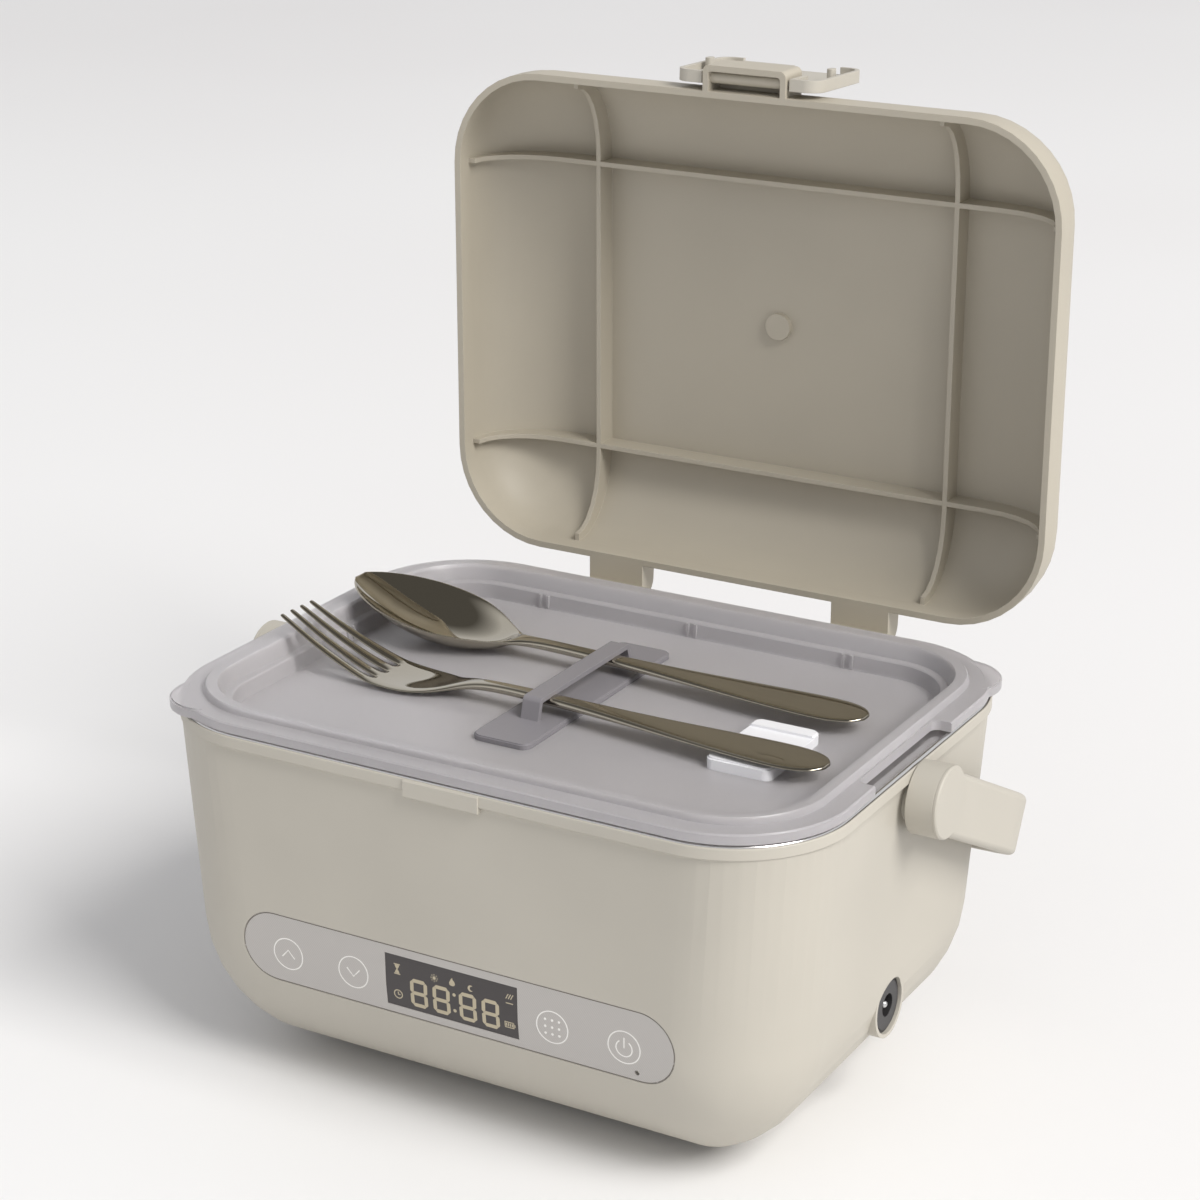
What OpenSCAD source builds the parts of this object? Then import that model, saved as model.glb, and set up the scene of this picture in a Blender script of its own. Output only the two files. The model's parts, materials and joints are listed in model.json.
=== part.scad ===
// Electric lunch box with hinged lid, latch, bail handle, steel food tray and inner lid.
// Origin: centre of the base on the table. X is the width, Y the depth (front is -Y), Z is up.
// It is drawn as it rests in use: outer lid open, latch folded back, handle leaning on the back.

/* [Housing] */
// Width of the housing just under its lip
body_w = 242; // [200:0.5:300]
// Depth of the housing just under its lip
body_d = 183.5; // [150:0.5:240]
// Plan corner radius of the housing wall
body_r = 36; // [20:0.5:60]
// Height of the housing's base above the table
base_z = 1.3; // [0.8:0.1:5]
// Height of the wall from its bottom to the underside of the lip
wall_h = 123.7; // [90:0.1:170]
// Wall thickness of the housing
wall = 2.5; // [1.5:0.1:4]
// Inward lean of the side walls from top to bottom
lean_x = 7.3; // [0:0.1:15]
// Inward lean of the front and back walls from top to bottom
lean_y = 4; // [0:0.1:15]
// Radius of the bottom edge
foot_round = 49.6; // [10:0.1:60]
// How far the lip stands out from the wall
lip_out = 1.9; // [0:0.1:4]
// Height of the lip
lip_h = 4.4; // [2:0.1:10]
// Width of the latch keeper
keeper_w = 28; // [15:0.5:50]
// Depth of the keeper beyond the steel rim
keeper_out = 1.5; // [1:0.1:3]

/* [Food container] */
// How far the rolled steel rim stands out from the wall
rim_out = 1; // [0.5:0.1:2]
// How much larger the rim's corner radius is than the wall's
rim_round = 4.6; // [2:0.1:8]
// Depth of the container below its rim
tray_deep = 62; // [30:1:90]
// Sheet thickness of the container
tray_t = 0.8; // [0.5:0.1:1.5]
// Width of the flat flange inside the rim
flange_w = 14; // [8:0.5:20]

/* [Container lid] */
// Height of the lid flange's top above the steel rim
clid_top = 3.7; // [2:0.1:8]
// Height of the bead's top above the steel rim
bead_top = 6; // [4:0.1:10]
// Depth of the lid floor below the steel rim
clid_floor = 4.3; // [2:0.1:10]
// Length of the finger notch in the right flange
notch_l = 60; // [30:1:90]

/* [Outer lid] */
// How far the outer lid's side walls stand in from the steel rim
lid_in_x = 2; // [1:0.05:3]
// How far the outer lid's front and back walls stand in from the steel rim
lid_in_y = 1.95; // [1:0.05:3]
// How much smaller the outer lid's corner radius is than the rim's
lid_round = 4.8; // [2:0.1:8]
// Height of the outer lid
lid_h = 35.5; // [20:0.5:60]
// Wall thickness of the outer lid
lid_t = 2.4; // [1.5:0.1:4]
// Angle the lid stands open at rest
lid_open = 89.5; // [60:0.5:100]
// Height of the open lid's ribs
rib_h = 9; // [4:0.5:14]
// Width of each hinge arm
arm_w = 22.8; // [12:0.1:30]
// Distance of each hinge arm from the middle
arm_x = 50.7; // [30:0.1:80]

/* [Latch] */
// Width of the latch
latch_w = 56.6; // [40:0.1:80]
// Length of the latch beyond its pivot
latch_l = 36; // [25:0.5:50]
// Outer width of the bridge that carries the latch
bridge_w = 32.4; // [24:0.1:40]
// How far the bridge stands out from the lid
bridge_out = 9.2; // [6:0.1:14]

/* [Handle] */
// Width of each of the handle's hubs, measured along the pivot
hub_w = 9.4; // [7:0.1:14]
// How far the handle's outer edge reaches beyond the housing's back wall
bail_out = 21.75; // [14:0.05:50]
// Width of the handle strap
bail_strap = 21.6; // [12:0.1:30]
// Thickness of the handle strap
bail_t = 6.5; // [4:0.1:10]
// Radius of the handle's outer bends
bail_bend = 44; // [20:1:60]
// Angle the handle hangs below level at rest
bail_rest = 27; // [0:0.5:35]

/* [Control panel] */
// Length of the control panel
panel_l = 164.8; // [120:0.1:180]
// Height of the control panel
panel_h = 25.7; // [18:0.1:34]
// Width of the display window
window_w = 50.6; // [30:0.1:70]
// Height of the display window
window_h = 19.2; // [12:0.1:22]

/* [Cutlery] */
// Length of the fork
fork_l = 212; // [150:1:220]
// Length of the spoon
spoon_l = 207; // [150:1:220]
// Steel thickness of the cutlery
steel_t = 2; // [1.2:0.1:3]

/* [Hidden] */
$fn = 64;
eps = 0.01;
gap = 0.3;
fit = 0.1;
run = 0.05;
wall_z = base_z + wall_h;
rim_z = wall_z + 4;
tray_w = body_w + 2 * rim_out;
tray_d = body_d + 2 * rim_out;
tray_r = body_r + rim_round;
lid_w = tray_w - 2 * lid_in_x;
lid_d = tray_d - 2 * lid_in_y;
lid_r = tray_r - lid_round;
panel_z = rim_z - 75.8;
jack_z = rim_z - 89.5;
jack_r = 9.75;
jack_x = body_w / 2 - 6.1;
lid_z = rim_z + clid_top + gap;
hinge_y = lid_d / 2 + 9.9;
hinge_z = rim_z - 4.85;
hinge_r = 4.2;
pin_r = 1.5;
lug_w = 3;
bail_z = rim_z - 12;
hub_r = 12.25;
hub_in = tray_w / 2 + lip_out - 1 + gap;
hub_pin_r = 4;
hub_boss_r = 8.5;
boss_x = body_w / 2 - 8.7;
bail_w = 2 * (hub_in + hub_w);
bail_reach = body_d / 2 + bail_out;
pivot_y = -lid_d / 2 - 4.6;
pivot_t = 3.5;
latch_pin_r = 1.25;
latch_rim = 2.1;
dome_s = 8;
dome_run = 34;
rib_t = 1.8;
rib_x = lid_w / 2 - 48;
rib_y = lid_d / 2 - 36;
rib_run = 27;
latch_lean = 2;
liner_gap = 1.2;
liner_t = 0.8;
liner_z = rim_z - tray_deep - tray_t - liner_gap - liner_t;
cover_w = 100;
cover_d = 52;
cover_t = 2;
cover_r = 5;
ledge = 6;
screw_x = cover_w / 2 - cover_r;
screw_y = cover_d / 2 - cover_r;
screw_r = 1.3;
foot_x = 56;
foot_y = 31;
foot_r = 5;
holder_x = -6.7;
strap_w = 6.8;
valve_x = tray_w / 2 - 49.7;
valve_y = -11.5;
board_y = 12.75 - body_d / 2;
board_t = 1.6;
board_w = panel_l - 24.8;
plate_w = tray_w - 64;
plate_d = tray_d - 63.5;
plate_t = 4;
cell_r = 9.2;
cell_l = 65;
pack_w = 2 * cell_l + 20;
pack_d = 8 * cell_r + 10.4;
pack_z = base_z + 10.9;
fork_x = tray_w / 2 - 21.5;
spoon_x = tray_w / 2 - 28;

// ---- flat shapes and sweeps ----

// Rounded rectangle about the origin.
module rrect(w, d, r) {
  square([w - 2 * r, d], center = true);
  square([w, d - 2 * r], center = true);
  for (x = [-1, 1], y = [-1, 1]) translate([x * (w / 2 - r), y * (d / 2 - r)]) circle(r);
}

// Plate with a rounded-rectangle outline, its underside at z.
module plate(w, d, r, z, t) {
  translate([0, 0, z]) linear_extrude(t) rrect(w, d, r);
}

// Sweeps a profile (x outward from the outline, y up) round a rounded rectangle.
module ring(w, d, r) {
  for (s = [0, 180]) rotate([0, 0, s]) {
    translate([w / 2, d / 2 - r, 0]) rotate([90, 0, 0]) linear_extrude(d - 2 * r) children();
    translate([r - w / 2, d / 2, 0]) rotate([90, 0, 90]) linear_extrude(w - 2 * r) children();
    translate([w / 2 - r, d / 2 - r, 0]) rotate_extrude(angle = 90) translate([r, 0]) children();
    translate([r - w / 2, d / 2 - r, 0]) rotate([0, 0, 90])
      rotate_extrude(angle = 90) translate([r, 0]) children();
  }
}

// Points of an arc, for polygons.
function arc(cx, cy, r, a0, a1, n = 6) =
  [for (i = [0:n]) let (a = a0 + (a1 - a0) * i / n) [cx + r * cos(a), cy + r * sin(a)]];

// Smooth curve through a few [position, value] pairs.
function slope(k, i) = let (a = max(i - 1, 0), b = min(i + 1, len(k) - 1))
  (k[b][1] - k[a][1]) / (k[b][0] - k[a][0]);
function part_of(k, s, i = 0) = i >= len(k) - 2 || s <= k[i + 1][0] ? i : part_of(k, s, i + 1);
function curve(k, s) = let (i = part_of(k, s), h = k[i + 1][0] - k[i][0], t = (s - k[i][0]) / h, u = 1 - t)
  (1 + 2 * t) * u * u * k[i][1] + t * u * u * h * slope(k, i)
    + t * t * (3 - 2 * t) * k[i + 1][1] - t * t * u * h * slope(k, i + 1);

// ---- housing ----

// One thin slice of the housing's solid form, d below the lip, in by f for the foot and by o all round.
module body_slice(d, f, o) {
  w = body_w - 2 * lean_x * d / wall_h - 2 * f - 2 * o;
  l = body_d - 2 * lean_y * d / wall_h - 2 * f - 2 * o;
  translate([0, 0, wall_z - d]) linear_extrude(eps) rrect(w, l, max(body_r - f - o, 2), $fn = 48);
}

// The housing's outer form, or the same form in by o and up by top.
module body_form(o = 0, top = 0) {
  r = foot_round - o;
  hull() {
    body_slice(-top, 0, o);
    for (a = [0:10:90]) body_slice(wall_h - foot_round + r * sin(a), r * (1 - cos(a)), o);
  }
}

module stadium(l, h) {
  for (x = [-1, 1]) translate([x * (l - h) / 2, 0]) circle(h / 2);
  square([l - h, h], center = true);
}

// Upright prism standing out of the front wall at the control panel's height.
module front_prism() {
  translate([0, 21.75 - body_d / 2, panel_z]) rotate([90, 0, 0]) linear_extrude(40) children();
}

// Cylinder along X at the inlet's height.
module jack_rod(r, x0, x1) {
  translate([x0, 0, jack_z]) rotate([0, 90, 0]) cylinder(r = r, h = x1 - x0);
}

// Cylinder along X through both handle pivots.
module bail_rod(r, x0, x1) {
  for (s = [0, 180]) translate([0, 0, bail_z]) rotate([0, 90, s]) translate([0, 0, x0])
    cylinder(r = r, h = x1 - x0);
}

// Rim that carries the steel container, with the lip that stands out round it.
module lip() {
  o = lip_out - 1;
  translate([0, 0, rim_z]) ring(tray_w, tray_d, tray_r)
    polygon(concat(
      [[3 - flange_w, -3.5], [3 - flange_w, -6], [-3.4, -8], [-1.2, -8], [-0.9, -lip_h - 1.4], [o, -lip_h]],
      arc(o - 0.5, -1.1, 0.5, 0, 90, 4), [[gap - 0.05, -0.6], [gap - 0.05, -2.7], [-6, -2.7], [-6, -3.5]]));
}

module keeper() {
  y = tray_d / 2;
  k = y + keeper_out;
  translate([-keeper_w / 2, 0, rim_z]) rotate([90, 0, 90]) linear_extrude(keeper_w)
    polygon([[-y + 2, -6.9], [-k + 0.4, -6.9], [-k, -6.4], [-k, -1.3], [-k + 0.5, -0.6], [-y - 0.4, -0.6],
      [-y - 0.4, -2.8], [-y + 2, -2.8]]);
}

// Lugs on both sides of each hinge arm.
module hinge_lugs() {
  y = tray_d / 2;
  for (s = [-1, 1], e = [-1, 1])
    translate([s * arm_x + e * (arm_w / 2 + gap + lug_w / 2) - lug_w / 2, 0, 0])
      rotate([90, 0, 90]) linear_extrude(lug_w) {
        translate([hinge_y, hinge_z]) circle(hinge_r);
        polygon([[y - 2, hinge_z - 15], [y - 2, rim_z - 2.8], [y + 0.4, rim_z - 2.8],
          [y + 0.4, hinge_z + hinge_r], [hinge_y, hinge_z + hinge_r], [hinge_y + 2.9, hinge_z - 3]]);
      }
}

// Hollow inside of the housing, less the bosses that stand in it.
module body_hollow() {
  difference() {
    body_form(wall, 1);
    for (x = [-1, 1]) translate([x * (boss_x + 10), 0, bail_z]) cube([20, 24, 24], center = true);
    translate([jack_x - 11.9, -13.5, jack_z - 13.5]) cube([20, 27, 27]);
    for (x = [-1, 1], y = [-1, 1]) translate([x * screw_x, y * screw_y, 0]) cylinder(r = 4, h = 12);
    for (x = [-1, 1]) translate([x * 51, board_y - board_t, panel_z]) rotate([90, 0, 0])
      cylinder(r = 4, h = 11);
  }
}

module housing() {
  color([0.72, 0.69, 0.64]) difference() {
    union() {
      difference() {
        body_form(0);
        body_hollow();
      }
      lip();
      keeper();
      hinge_lugs();
      bail_rod(hub_boss_r, boss_x + 1.7, hub_in - gap);
      jack_rod(jack_r + 1.4, jack_x - 9.9, jack_x + 0.8);
    }
    front_prism() square([window_w - 3, window_h - 3], center = true);
    difference() {
      front_prism() stadium(panel_l + 2 * fit, panel_h + 2 * fit);
      body_form(1.3);
    }
    jack_rod(jack_r + fit, jack_x - 12.9, jack_x + 15);
    plate(cover_w - 2 * ledge, cover_d - 2 * ledge, 8, 0, base_z + wall + 1);
    plate(cover_w + 2 * fit, cover_d + 2 * fit, cover_r + fit, 0, base_z + cover_t);
    for (x = [-1, 1], y = [-1, 1]) translate([x * screw_x, y * screw_y, 0]) cylinder(r = screw_r, h = 11);
    for (s = [-1, 1]) translate([s * arm_x, hinge_y, hinge_z]) rotate([0, 90, 0])
      cylinder(r = pin_r + run, h = arm_w + 12, center = true);
    bail_rod(hub_pin_r + run, boss_x - 2.3, hub_in + 1);
  }
}

// ---- control panel and electronics ----

module control_panel() {
  color([0.70, 0.68, 0.67]) difference() {
    intersection() {
      front_prism() stadium(panel_l, panel_h);
      difference() {
        body_form(0.15);
        body_form(1.2);
      }
    }
    front_prism() square([window_w, window_h], center = true);
    front_prism() translate([68.5, -9.6]) circle(0.9);
  }
}

module display_lens() {
  color([0.12, 0.11, 0.11]) intersection() {
    front_prism() square([window_w - fit, window_h - fit], center = true);
    difference() {
      body_form(0.35);
      body_form(1.2);
    }
  }
}

module display_module() {
  color([0.2, 0.2, 0.2]) translate([0, board_y - board_t - 3, panel_z]) difference() {
    cube([46, 6, 15], center = true);
    translate([0, -3, 0]) cube([42, 1.6, 12], center = true);
  }
}

module control_board() {
  color([0.1, 0.35, 0.2]) {
    translate([-board_w / 2, board_y - board_t, panel_z - 11]) cube([board_w, board_t, 20]);
    for (x = [-1, 1], k = [38.1, 64.3]) translate([x * k, board_y - board_t, panel_z]) rotate([90, 0, 0])
      cylinder(r = 3.4, h = 1.2);
    translate([-30, board_y, panel_z - 8]) cube([14, 2.4, 10]);
    translate([14, board_y, panel_z - 8]) cube([20, 4, 8]);
  }
}

module dc_socket() {
  color([0.5, 0.49, 0.48]) difference() {
    union() {
      jack_rod(jack_r, jack_x - 11.4, jack_x);
      jack_rod(7, jack_x - 16.9, jack_x - 11.4);
    }
    jack_rod(4, jack_x - 13.9, jack_x + 5);
    difference() {
      jack_rod(jack_r + 1, jack_x - 0.6, jack_x + 5);
      jack_rod(jack_r - 1.2, jack_x - 4.9, jack_x);
    }
  }
}

module dc_pin() {
  color([0.85, 0.85, 0.85]) {
    jack_rod(1.4, jack_x - 13.9, jack_x - 1.5);
    translate([jack_x - 1.5, 0, jack_z]) sphere(1.4, $fn = 32);
  }
}

// ---- heating parts ----

// Wall and floor of a steel tray: opening in by o from the rim outline, sheet t, floor at z.
module tray_shell(o, t, top, z) {
  r = 13;
  slant = 3.2;
  ring(tray_w, tray_d, tray_r) polygon(concat([[-o, top]], arc(-o - slant - r, z + r, r, 0, -90),
    arc(-o - slant - r, z + r, r + t, -90, 0), [[-o + t, top]]));
  plate(tray_w - 2 * (o + slant + r), tray_d - 2 * (o + slant + r), tray_r - o - slant - r, z - t, t);
}

// Steel well fixed in the housing, which the food container drops into.
module inner_liner() {
  o = flange_w - liner_t - liner_gap;
  color([0.8, 0.8, 0.8]) translate([0, 0, rim_z]) {
    tray_shell(o, liner_t, -3.5 + liner_t, -tray_deep - tray_t - liner_gap);
    ring(tray_w, tray_d, tray_r) translate([-o, -3.5]) square([o - 6.2, liner_t]);
  }
}

module insulation() {
  z = liner_z - plate_t - 0.2;
  color([0.93, 0.92, 0.88]) difference() {
    plate(plate_w + 26, plate_d + 26, 24, z, plate_t);
    plate(plate_w + 2, plate_d + 2, 14, z - 1, plate_t + 2);
  }
}

module heating_plate() {
  color([0.75, 0.75, 0.77]) {
    plate(plate_w, plate_d, 12, liner_z - plate_t - 0.2, plate_t);
    for (s = [-1, 1]) translate([0, s * (plate_d / 2 - 31), liner_z - plate_t - 3.2]) linear_extrude(3)
      rrect(plate_w - 30, 8, 3.9);
  }
}

module temperature_sensor() {
  color([0.8, 0.3, 0.2]) translate([34, 0, liner_z - 14]) cylinder(r = 4, h = 9.8);
}

module thermal_fuse() {
  color([0.9, 0.85, 0.7]) translate([-34, 0, liner_z - 7.2]) {
    translate([-11, 0, 0]) rotate([0, 90, 0]) cylinder(r = 2, h = 22);
    translate([0, 0, 2]) cube([16, 8, 2], center = true);
  }
}

module battery_tray() {
  color([0.3, 0.3, 0.3]) {
    plate(pack_w, pack_d, 6, pack_z, 1.8);
    for (x = [-1, 1]) translate([x * (pack_w / 2 - 1), 0, pack_z + 5.8])
      cube([2, pack_d - 8, 10], center = true);
    for (y = [-1, 1]) translate([0, y * (plate_d / 2 - 31), pack_z + 0.8])
      cylinder(r = 3.6, h = liner_z - plate_t - 3.2 - pack_z - 0.8);
  }
}

module battery_cells() {
  color([0.25, 0.45, 0.6]) for (s = [-1, 1], i = [-1.5:1.5])
    translate([s * (cell_l / 2 + 4.5), i * (2 * cell_r + 0.6), pack_z + 1.9 + cell_r]) rotate([0, 90, 0])
      cylinder(r = cell_r, h = cell_l, center = true);
}

module base_cover() {
  color([0.6, 0.58, 0.54]) difference() {
    plate(cover_w, cover_d, cover_r, base_z, cover_t);
    for (x = [-1, 1], y = [-1, 1]) translate([x * screw_x, y * screw_y, 0]) {
      cylinder(r = screw_r + fit, h = 10);
      cylinder(r = 2.7, h = base_z + 1);
    }
  }
}

module cover_screws() {
  color([0.7, 0.7, 0.7]) for (x = [-1, 1], y = [-1, 1])
  translate([x * screw_x, y * screw_y, base_z]) difference() {
    union() {
      cylinder(r = 2.6, h = 1);
      cylinder(r = screw_r - 0.03, h = 8.5);
    }
    cube([0.6, 3, 1], center = true);
    cube([3, 0.6, 1], center = true);
  }
}

module feet() {
  color([0.2, 0.2, 0.2]) for (x = [-1, 1], y = [-1, 1]) translate([x * foot_x, y * foot_y, 0]) {
    cylinder(r1 = foot_r - 0.5, r2 = foot_r, h = 0.5);
    translate([0, 0, 0.5]) cylinder(r = foot_r, h = base_z - 0.5);
  }
}

module hinge_pins() {
  color([0.75, 0.75, 0.75]) for (s = [-1, 1]) translate([s * arm_x, hinge_y, hinge_z]) rotate([0, 90, 0])
    cylinder(r = pin_r, h = arm_w + 2 * (gap + lug_w), center = true);
}

module handle_pins() {
  color([0.75, 0.75, 0.75]) {
    bail_rod(hub_pin_r, boss_x - 0.9, bail_w / 2 - 1.6);
    bail_rod(6, boss_x - 0.9, boss_x - 0.1);
  }
}

// ---- food container and its lid ----

module food_container() {
  color([0.83, 0.83, 0.84]) translate([0, 0, rim_z]) {
    ring(tray_w, tray_d, tray_r) {
      translate([-1.2, -1.2]) circle(1.2, $fn = 24);
      translate([-flange_w, -1.7]) square([flange_w - 1.4, tray_t]);
    }
    tray_shell(flange_w, tray_t, -1.7 + tray_t, -tray_deep);
  }
}

module pull_ear(x, y, a) {
  c = tray_r - 11.6;
  translate([x * (tray_w / 2 - tray_r) + c * cos(a), y * (tray_d / 2 - tray_r) + c * sin(a), 0.3]) {
    cylinder(r = 16, h = 2.9);
    cylinder(r = 15.4, h = 3.5);
  }
}

// Pair of small upright ribs on the lid's inner wall.
module rib_pair() {
  for (x = [-1.6, 1.6]) translate([x - 0.5, -18.3, -clid_floor - 0.4]) cube([1, 2.2, clid_floor + 0.6]);
}

module container_lid() {
  f = -clid_floor;
  color([0.85, 0.84, 0.83, 0.6]) translate([0, 0, rim_z]) difference() {
    union() {
      ring(tray_w, tray_d, tray_r) polygon(concat(
        [[0, 0.3], [0, clid_top - 0.5], [-0.5, clid_top], [-7.1, clid_top]],
        [[-7.6, bead_top - 0.5], [-8.1, bead_top], [-11.8, bead_top], [-12.3, bead_top - 0.5]],
        [[-14.2, 0.6], [-16.4, 0.4], [-16.9, 0], [-17.6, f + 0.2], [-18, f - 0.8], [-20.5, f - 0.8]],
        [[-21, f], [-24, f], [-24, f - 1.6], [-21.4, f - 1.6], [-20.9, f - 2.4], [-17.2, f - 2.4]],
        [[-16, f - 1.4], [-15.2, -1], [-14.8, -0.3], [-12, -0.3], [-11.5, 4.4], [-8.6, 4.4], [-8.6, 0.3]]
      ));
      plate(tray_w - 47.8, tray_d - 47.8, tray_r - 23.9, f - 1.6, 1.6);
      difference() {
        union() {
          pull_ear(-1, -1, 225);
          pull_ear(1, 1, 33);
        }
        plate(tray_w - 4, tray_d - 4, tray_r - 2, 0, 5);
      }
      for (x = [-62, 0, 62]) translate([x, tray_d / 2, 0]) rib_pair();
      translate([-tray_w / 2, 10, 0]) rotate([0, 0, 90]) rib_pair();
    }
    translate([tray_w / 2 + 3.6, -3, 0]) linear_extrude(bead_top) rrect(20, notch_l, 3);
    translate([valve_x, valve_y, f - 3]) cylinder(r = 4, h = 5);
    for (y = [-40, 44]) translate([holder_x, y, f - 3]) cylinder(r = 1.5, h = 5);
  }
}

module lid_gasket() {
  color([0.9, 0.9, 0.88]) translate([0, 0, rim_z]) ring(tray_w, tray_d, tray_r)
    polygon([[-11.4, 4.3], [-8.7, 4.3], [-8.7, 0.2], [-9.2, -0.6], [-10.6, -0.6], [-11.3, 0.3]]);
}

module vent_valve() {
  w = 23.6;
  l = 38.6;
  z = -clid_floor;
  color([0.96, 0.96, 0.96]) translate([valve_x, valve_y, rim_z]) difference() {
    union() {
      plate(w, l, 3, z, 3.6);
      plate(w - 1.2, l - 1.2, 2.5, z, 4.2);
      translate([0, 0, z - 2.6]) cylinder(r = 3.9, h = 2.7);
      translate([0, 0, z - 3.4]) cylinder(r = 5.2, h = 1.7);
    }
    translate([0, 0, -1]) linear_extrude(2) square([w + 1, l - 12], center = true);
    translate([0, 0, -1.3]) linear_extrude(1) difference() {
      square([11, 12], center = true);
      square([9.6, 10.6], center = true);
    }
  }
}

module utensil_holder() {
  x = holder_x - strap_w / 2;
  color([0.5, 0.5, 0.5]) {
    translate([holder_x, 2.5, 0]) {
      plate(21.8, 100.5, 3.5, rim_z - clid_floor, 1.6);
      plate(21, 99.7, 3.2, rim_z - clid_floor, 2);
    }
    translate([x, 0, rim_z]) rotate([90, 0, 90]) linear_extrude(strap_w) polygon(concat([[-28.2, -2.6]],
      arc(-24.6, 3.2, 2, 165, 90), arc(33.2, 3.2, 2, 90, 15), [[37.2, -2.6], [35.2, -2.6]],
      arc(32.6, 2.4, 1, 15, 90), arc(-24, 2.4, 1, 90, 165), [[-26.2, -2.6]]));
    for (y = [-40, 44]) translate([holder_x, y, rim_z - clid_floor - 1.6]) cylinder(r = 1.4, h = 2);
  }
}

// ---- cutlery ----

// Body of the cutlery: a flat plan cut from a bent strip. K holds heights, W half widths along the length.
module cutlery(k, w, l, t = steel_t) {
  n = 46;
  even = [for (i = [0:n]) l * i / n];
  close = [for (i = [0:n]) l * (1 - cos(180 * i / n)) / 2];
  intersection() {
    rotate([90, 0, 0]) linear_extrude(60, center = true) polygon(concat(
      [for (i = [0:n]) [even[i], curve(k, even[i]) + t / 2]],
      [for (i = [n:-1:0]) [even[i], curve(k, even[i]) - t / 2]]
    ));
    translate([0, 0, -20]) linear_extrude(60) polygon(concat(
      [for (i = [0:n]) [close[i], curve(w, close[i])]],
      [for (i = [n:-1:0]) [close[i], -curve(w, close[i])]]
    ));
  }
}

module fork() {
  l = fork_l;
  root = l - 38;
  color([0.8, 0.79, 0.76]) translate([fork_x, -22, rim_z]) rotate([0, 0, 177.7]) difference() {
    cutlery(concat(
      [[0, 1.6], [l * 0.28, 1.7], [l * 0.54, 2], [l * 0.63, 1.4], [l * 0.7, -1.6], [l * 0.76, -2.7]],
      [[l * 0.82, -1.6], [l * 0.88, 2.6], [l * 0.94, 7.6], [l, 14]]
    ), concat(
      [[0, 0.5], [2, 5.6], [8, 9], [18, 10], [45, 8], [80, 4.2], [110, 2.8], [132, 2.8]],
      [[142, 5.4], [153, 10.6], [166, 12.4], [182, 12], [l, 10]]
    ), l);
    for (i = [-1:1]) translate([0, 0, -20]) linear_extrude(60) {
      polygon([[root, 6.3 * i - 1.5], [l + 1, 5.9 * i - 2], [l + 1, 5.9 * i + 2], [root, 6.3 * i + 1.5]]);
      translate([root, 6.3 * i]) circle(1.5, $fn = 24);
    }
  }
}

// Bowl of the spoon: a shell between two tori, cut off at its rim.
module bowl(l, w, deep, t) {
  a = (l * l / 4 + deep * deep) / (2 * deep);
  b = (w * w / 4 + deep * deep) / (2 * deep);
  difference() {
    translate([0, 0, a - deep]) rotate([90, 0, 0]) difference() {
      rotate_extrude($fn = 180) translate([a - b, 0]) circle(b, $fn = 96);
      rotate_extrude($fn = 180) translate([a - b, 0]) circle(b - t, $fn = 96);
    }
    translate([-150, -100, 0]) cube([300, 200, 200]);
    for (s = [0, 180]) rotate([0, 0, s]) translate([l / 2 + 2, -100, -100]) cube([200, 200, 200]);
  }
}

module spoon() {
  l = spoon_l;
  b = 66;
  color([0.8, 0.79, 0.76]) translate([spoon_x, 22, rim_z]) rotate([0, 0, 178.3]) {
    cutlery([[0, 1.6], [60, 1.7], [112, 2], [130, 2.2], [l - b + 2, 1.6]],
      [[0, 0.5], [2, 5.6], [8, 9], [18, 10], [45, 8], [80, 4.2], [112, 2.8], [130, 3], [l - b + 2, 5]],
      l - b + 2);
    translate([l - b / 2 - 0.5, 0, 7.4]) rotate([0, -10, 0]) bowl(b, 41, 10.6, 1.2);
  }
}

// ---- outer lid and latch ----

// Drawn shut, with the rim plane at lid_z, then swung to the rest angle.
module lid_pose() {
  translate([0, hinge_y, hinge_z]) rotate([-lid_open, 0, 0]) translate([0, -hinge_y, -hinge_z]) children();
}

// The dome is a stack of slices: height, inset and corner radius of the slice at angle a.
function dome_z(o, a) = dome_s + (lid_h - o - dome_s) * sin(a);
function dome_in(o, a) = o + (dome_run - o / 2) * (1 - cos(a));
function dome_r(o, a) = lid_r - o - (dome_in(o, a) - o) * 0.65;

// Half length of the slice at angle a, measured at distance c from the middle.
function dome_half(o, a, along, across, c) = let (
    i = dome_in(o, a), r = dome_r(o, a), over = max(0, c - (across / 2 - i - r)))
  along / 2 - i - r + sqrt(r * r - over * over);

// The lid's domed form, or the same form in by o.
module lid_form(o = 0) {
  hull() for (a = [-10:10:90]) {
    i = dome_in(o, max(0, a));
    translate([0, 0, lid_z + (a < 0 ? 0 : dome_z(o, a))]) linear_extrude(eps)
      rrect(lid_w - 2 * i, lid_d - 2 * i, dome_r(o, max(0, a)), $fn = 40);
  }
}

// Side view of a rib at distance c from the middle, its ends starting at height low.
// Its outer edge runs along the middle of the lid's wall.
module rib_side(along, across, c, low) {
  o = lid_t / 2;
  crown = lid_h - lid_t - rib_h - low;
  foot = along / 2 - lid_t - 3;
  polygon(concat(
    [for (a = [0:10:90]) [-dome_half(o, a, along, across, c), max(low, dome_z(o, a))]],
    [for (a = [90:-10:0]) [dome_half(o, a, along, across, c), max(low, dome_z(o, a))]],
    [[dome_half(o, 0, along, across, c), low]],
    [for (i = [0:15:90]) [foot - rib_run * (1 - cos(i)), low + crown * sin(i)]],
    [for (i = [90:-15:0]) [rib_run * (1 - cos(i)) - foot, low + crown * sin(i)]],
    [[-dome_half(o, 0, along, across, c), low]]
  ));
}

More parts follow.
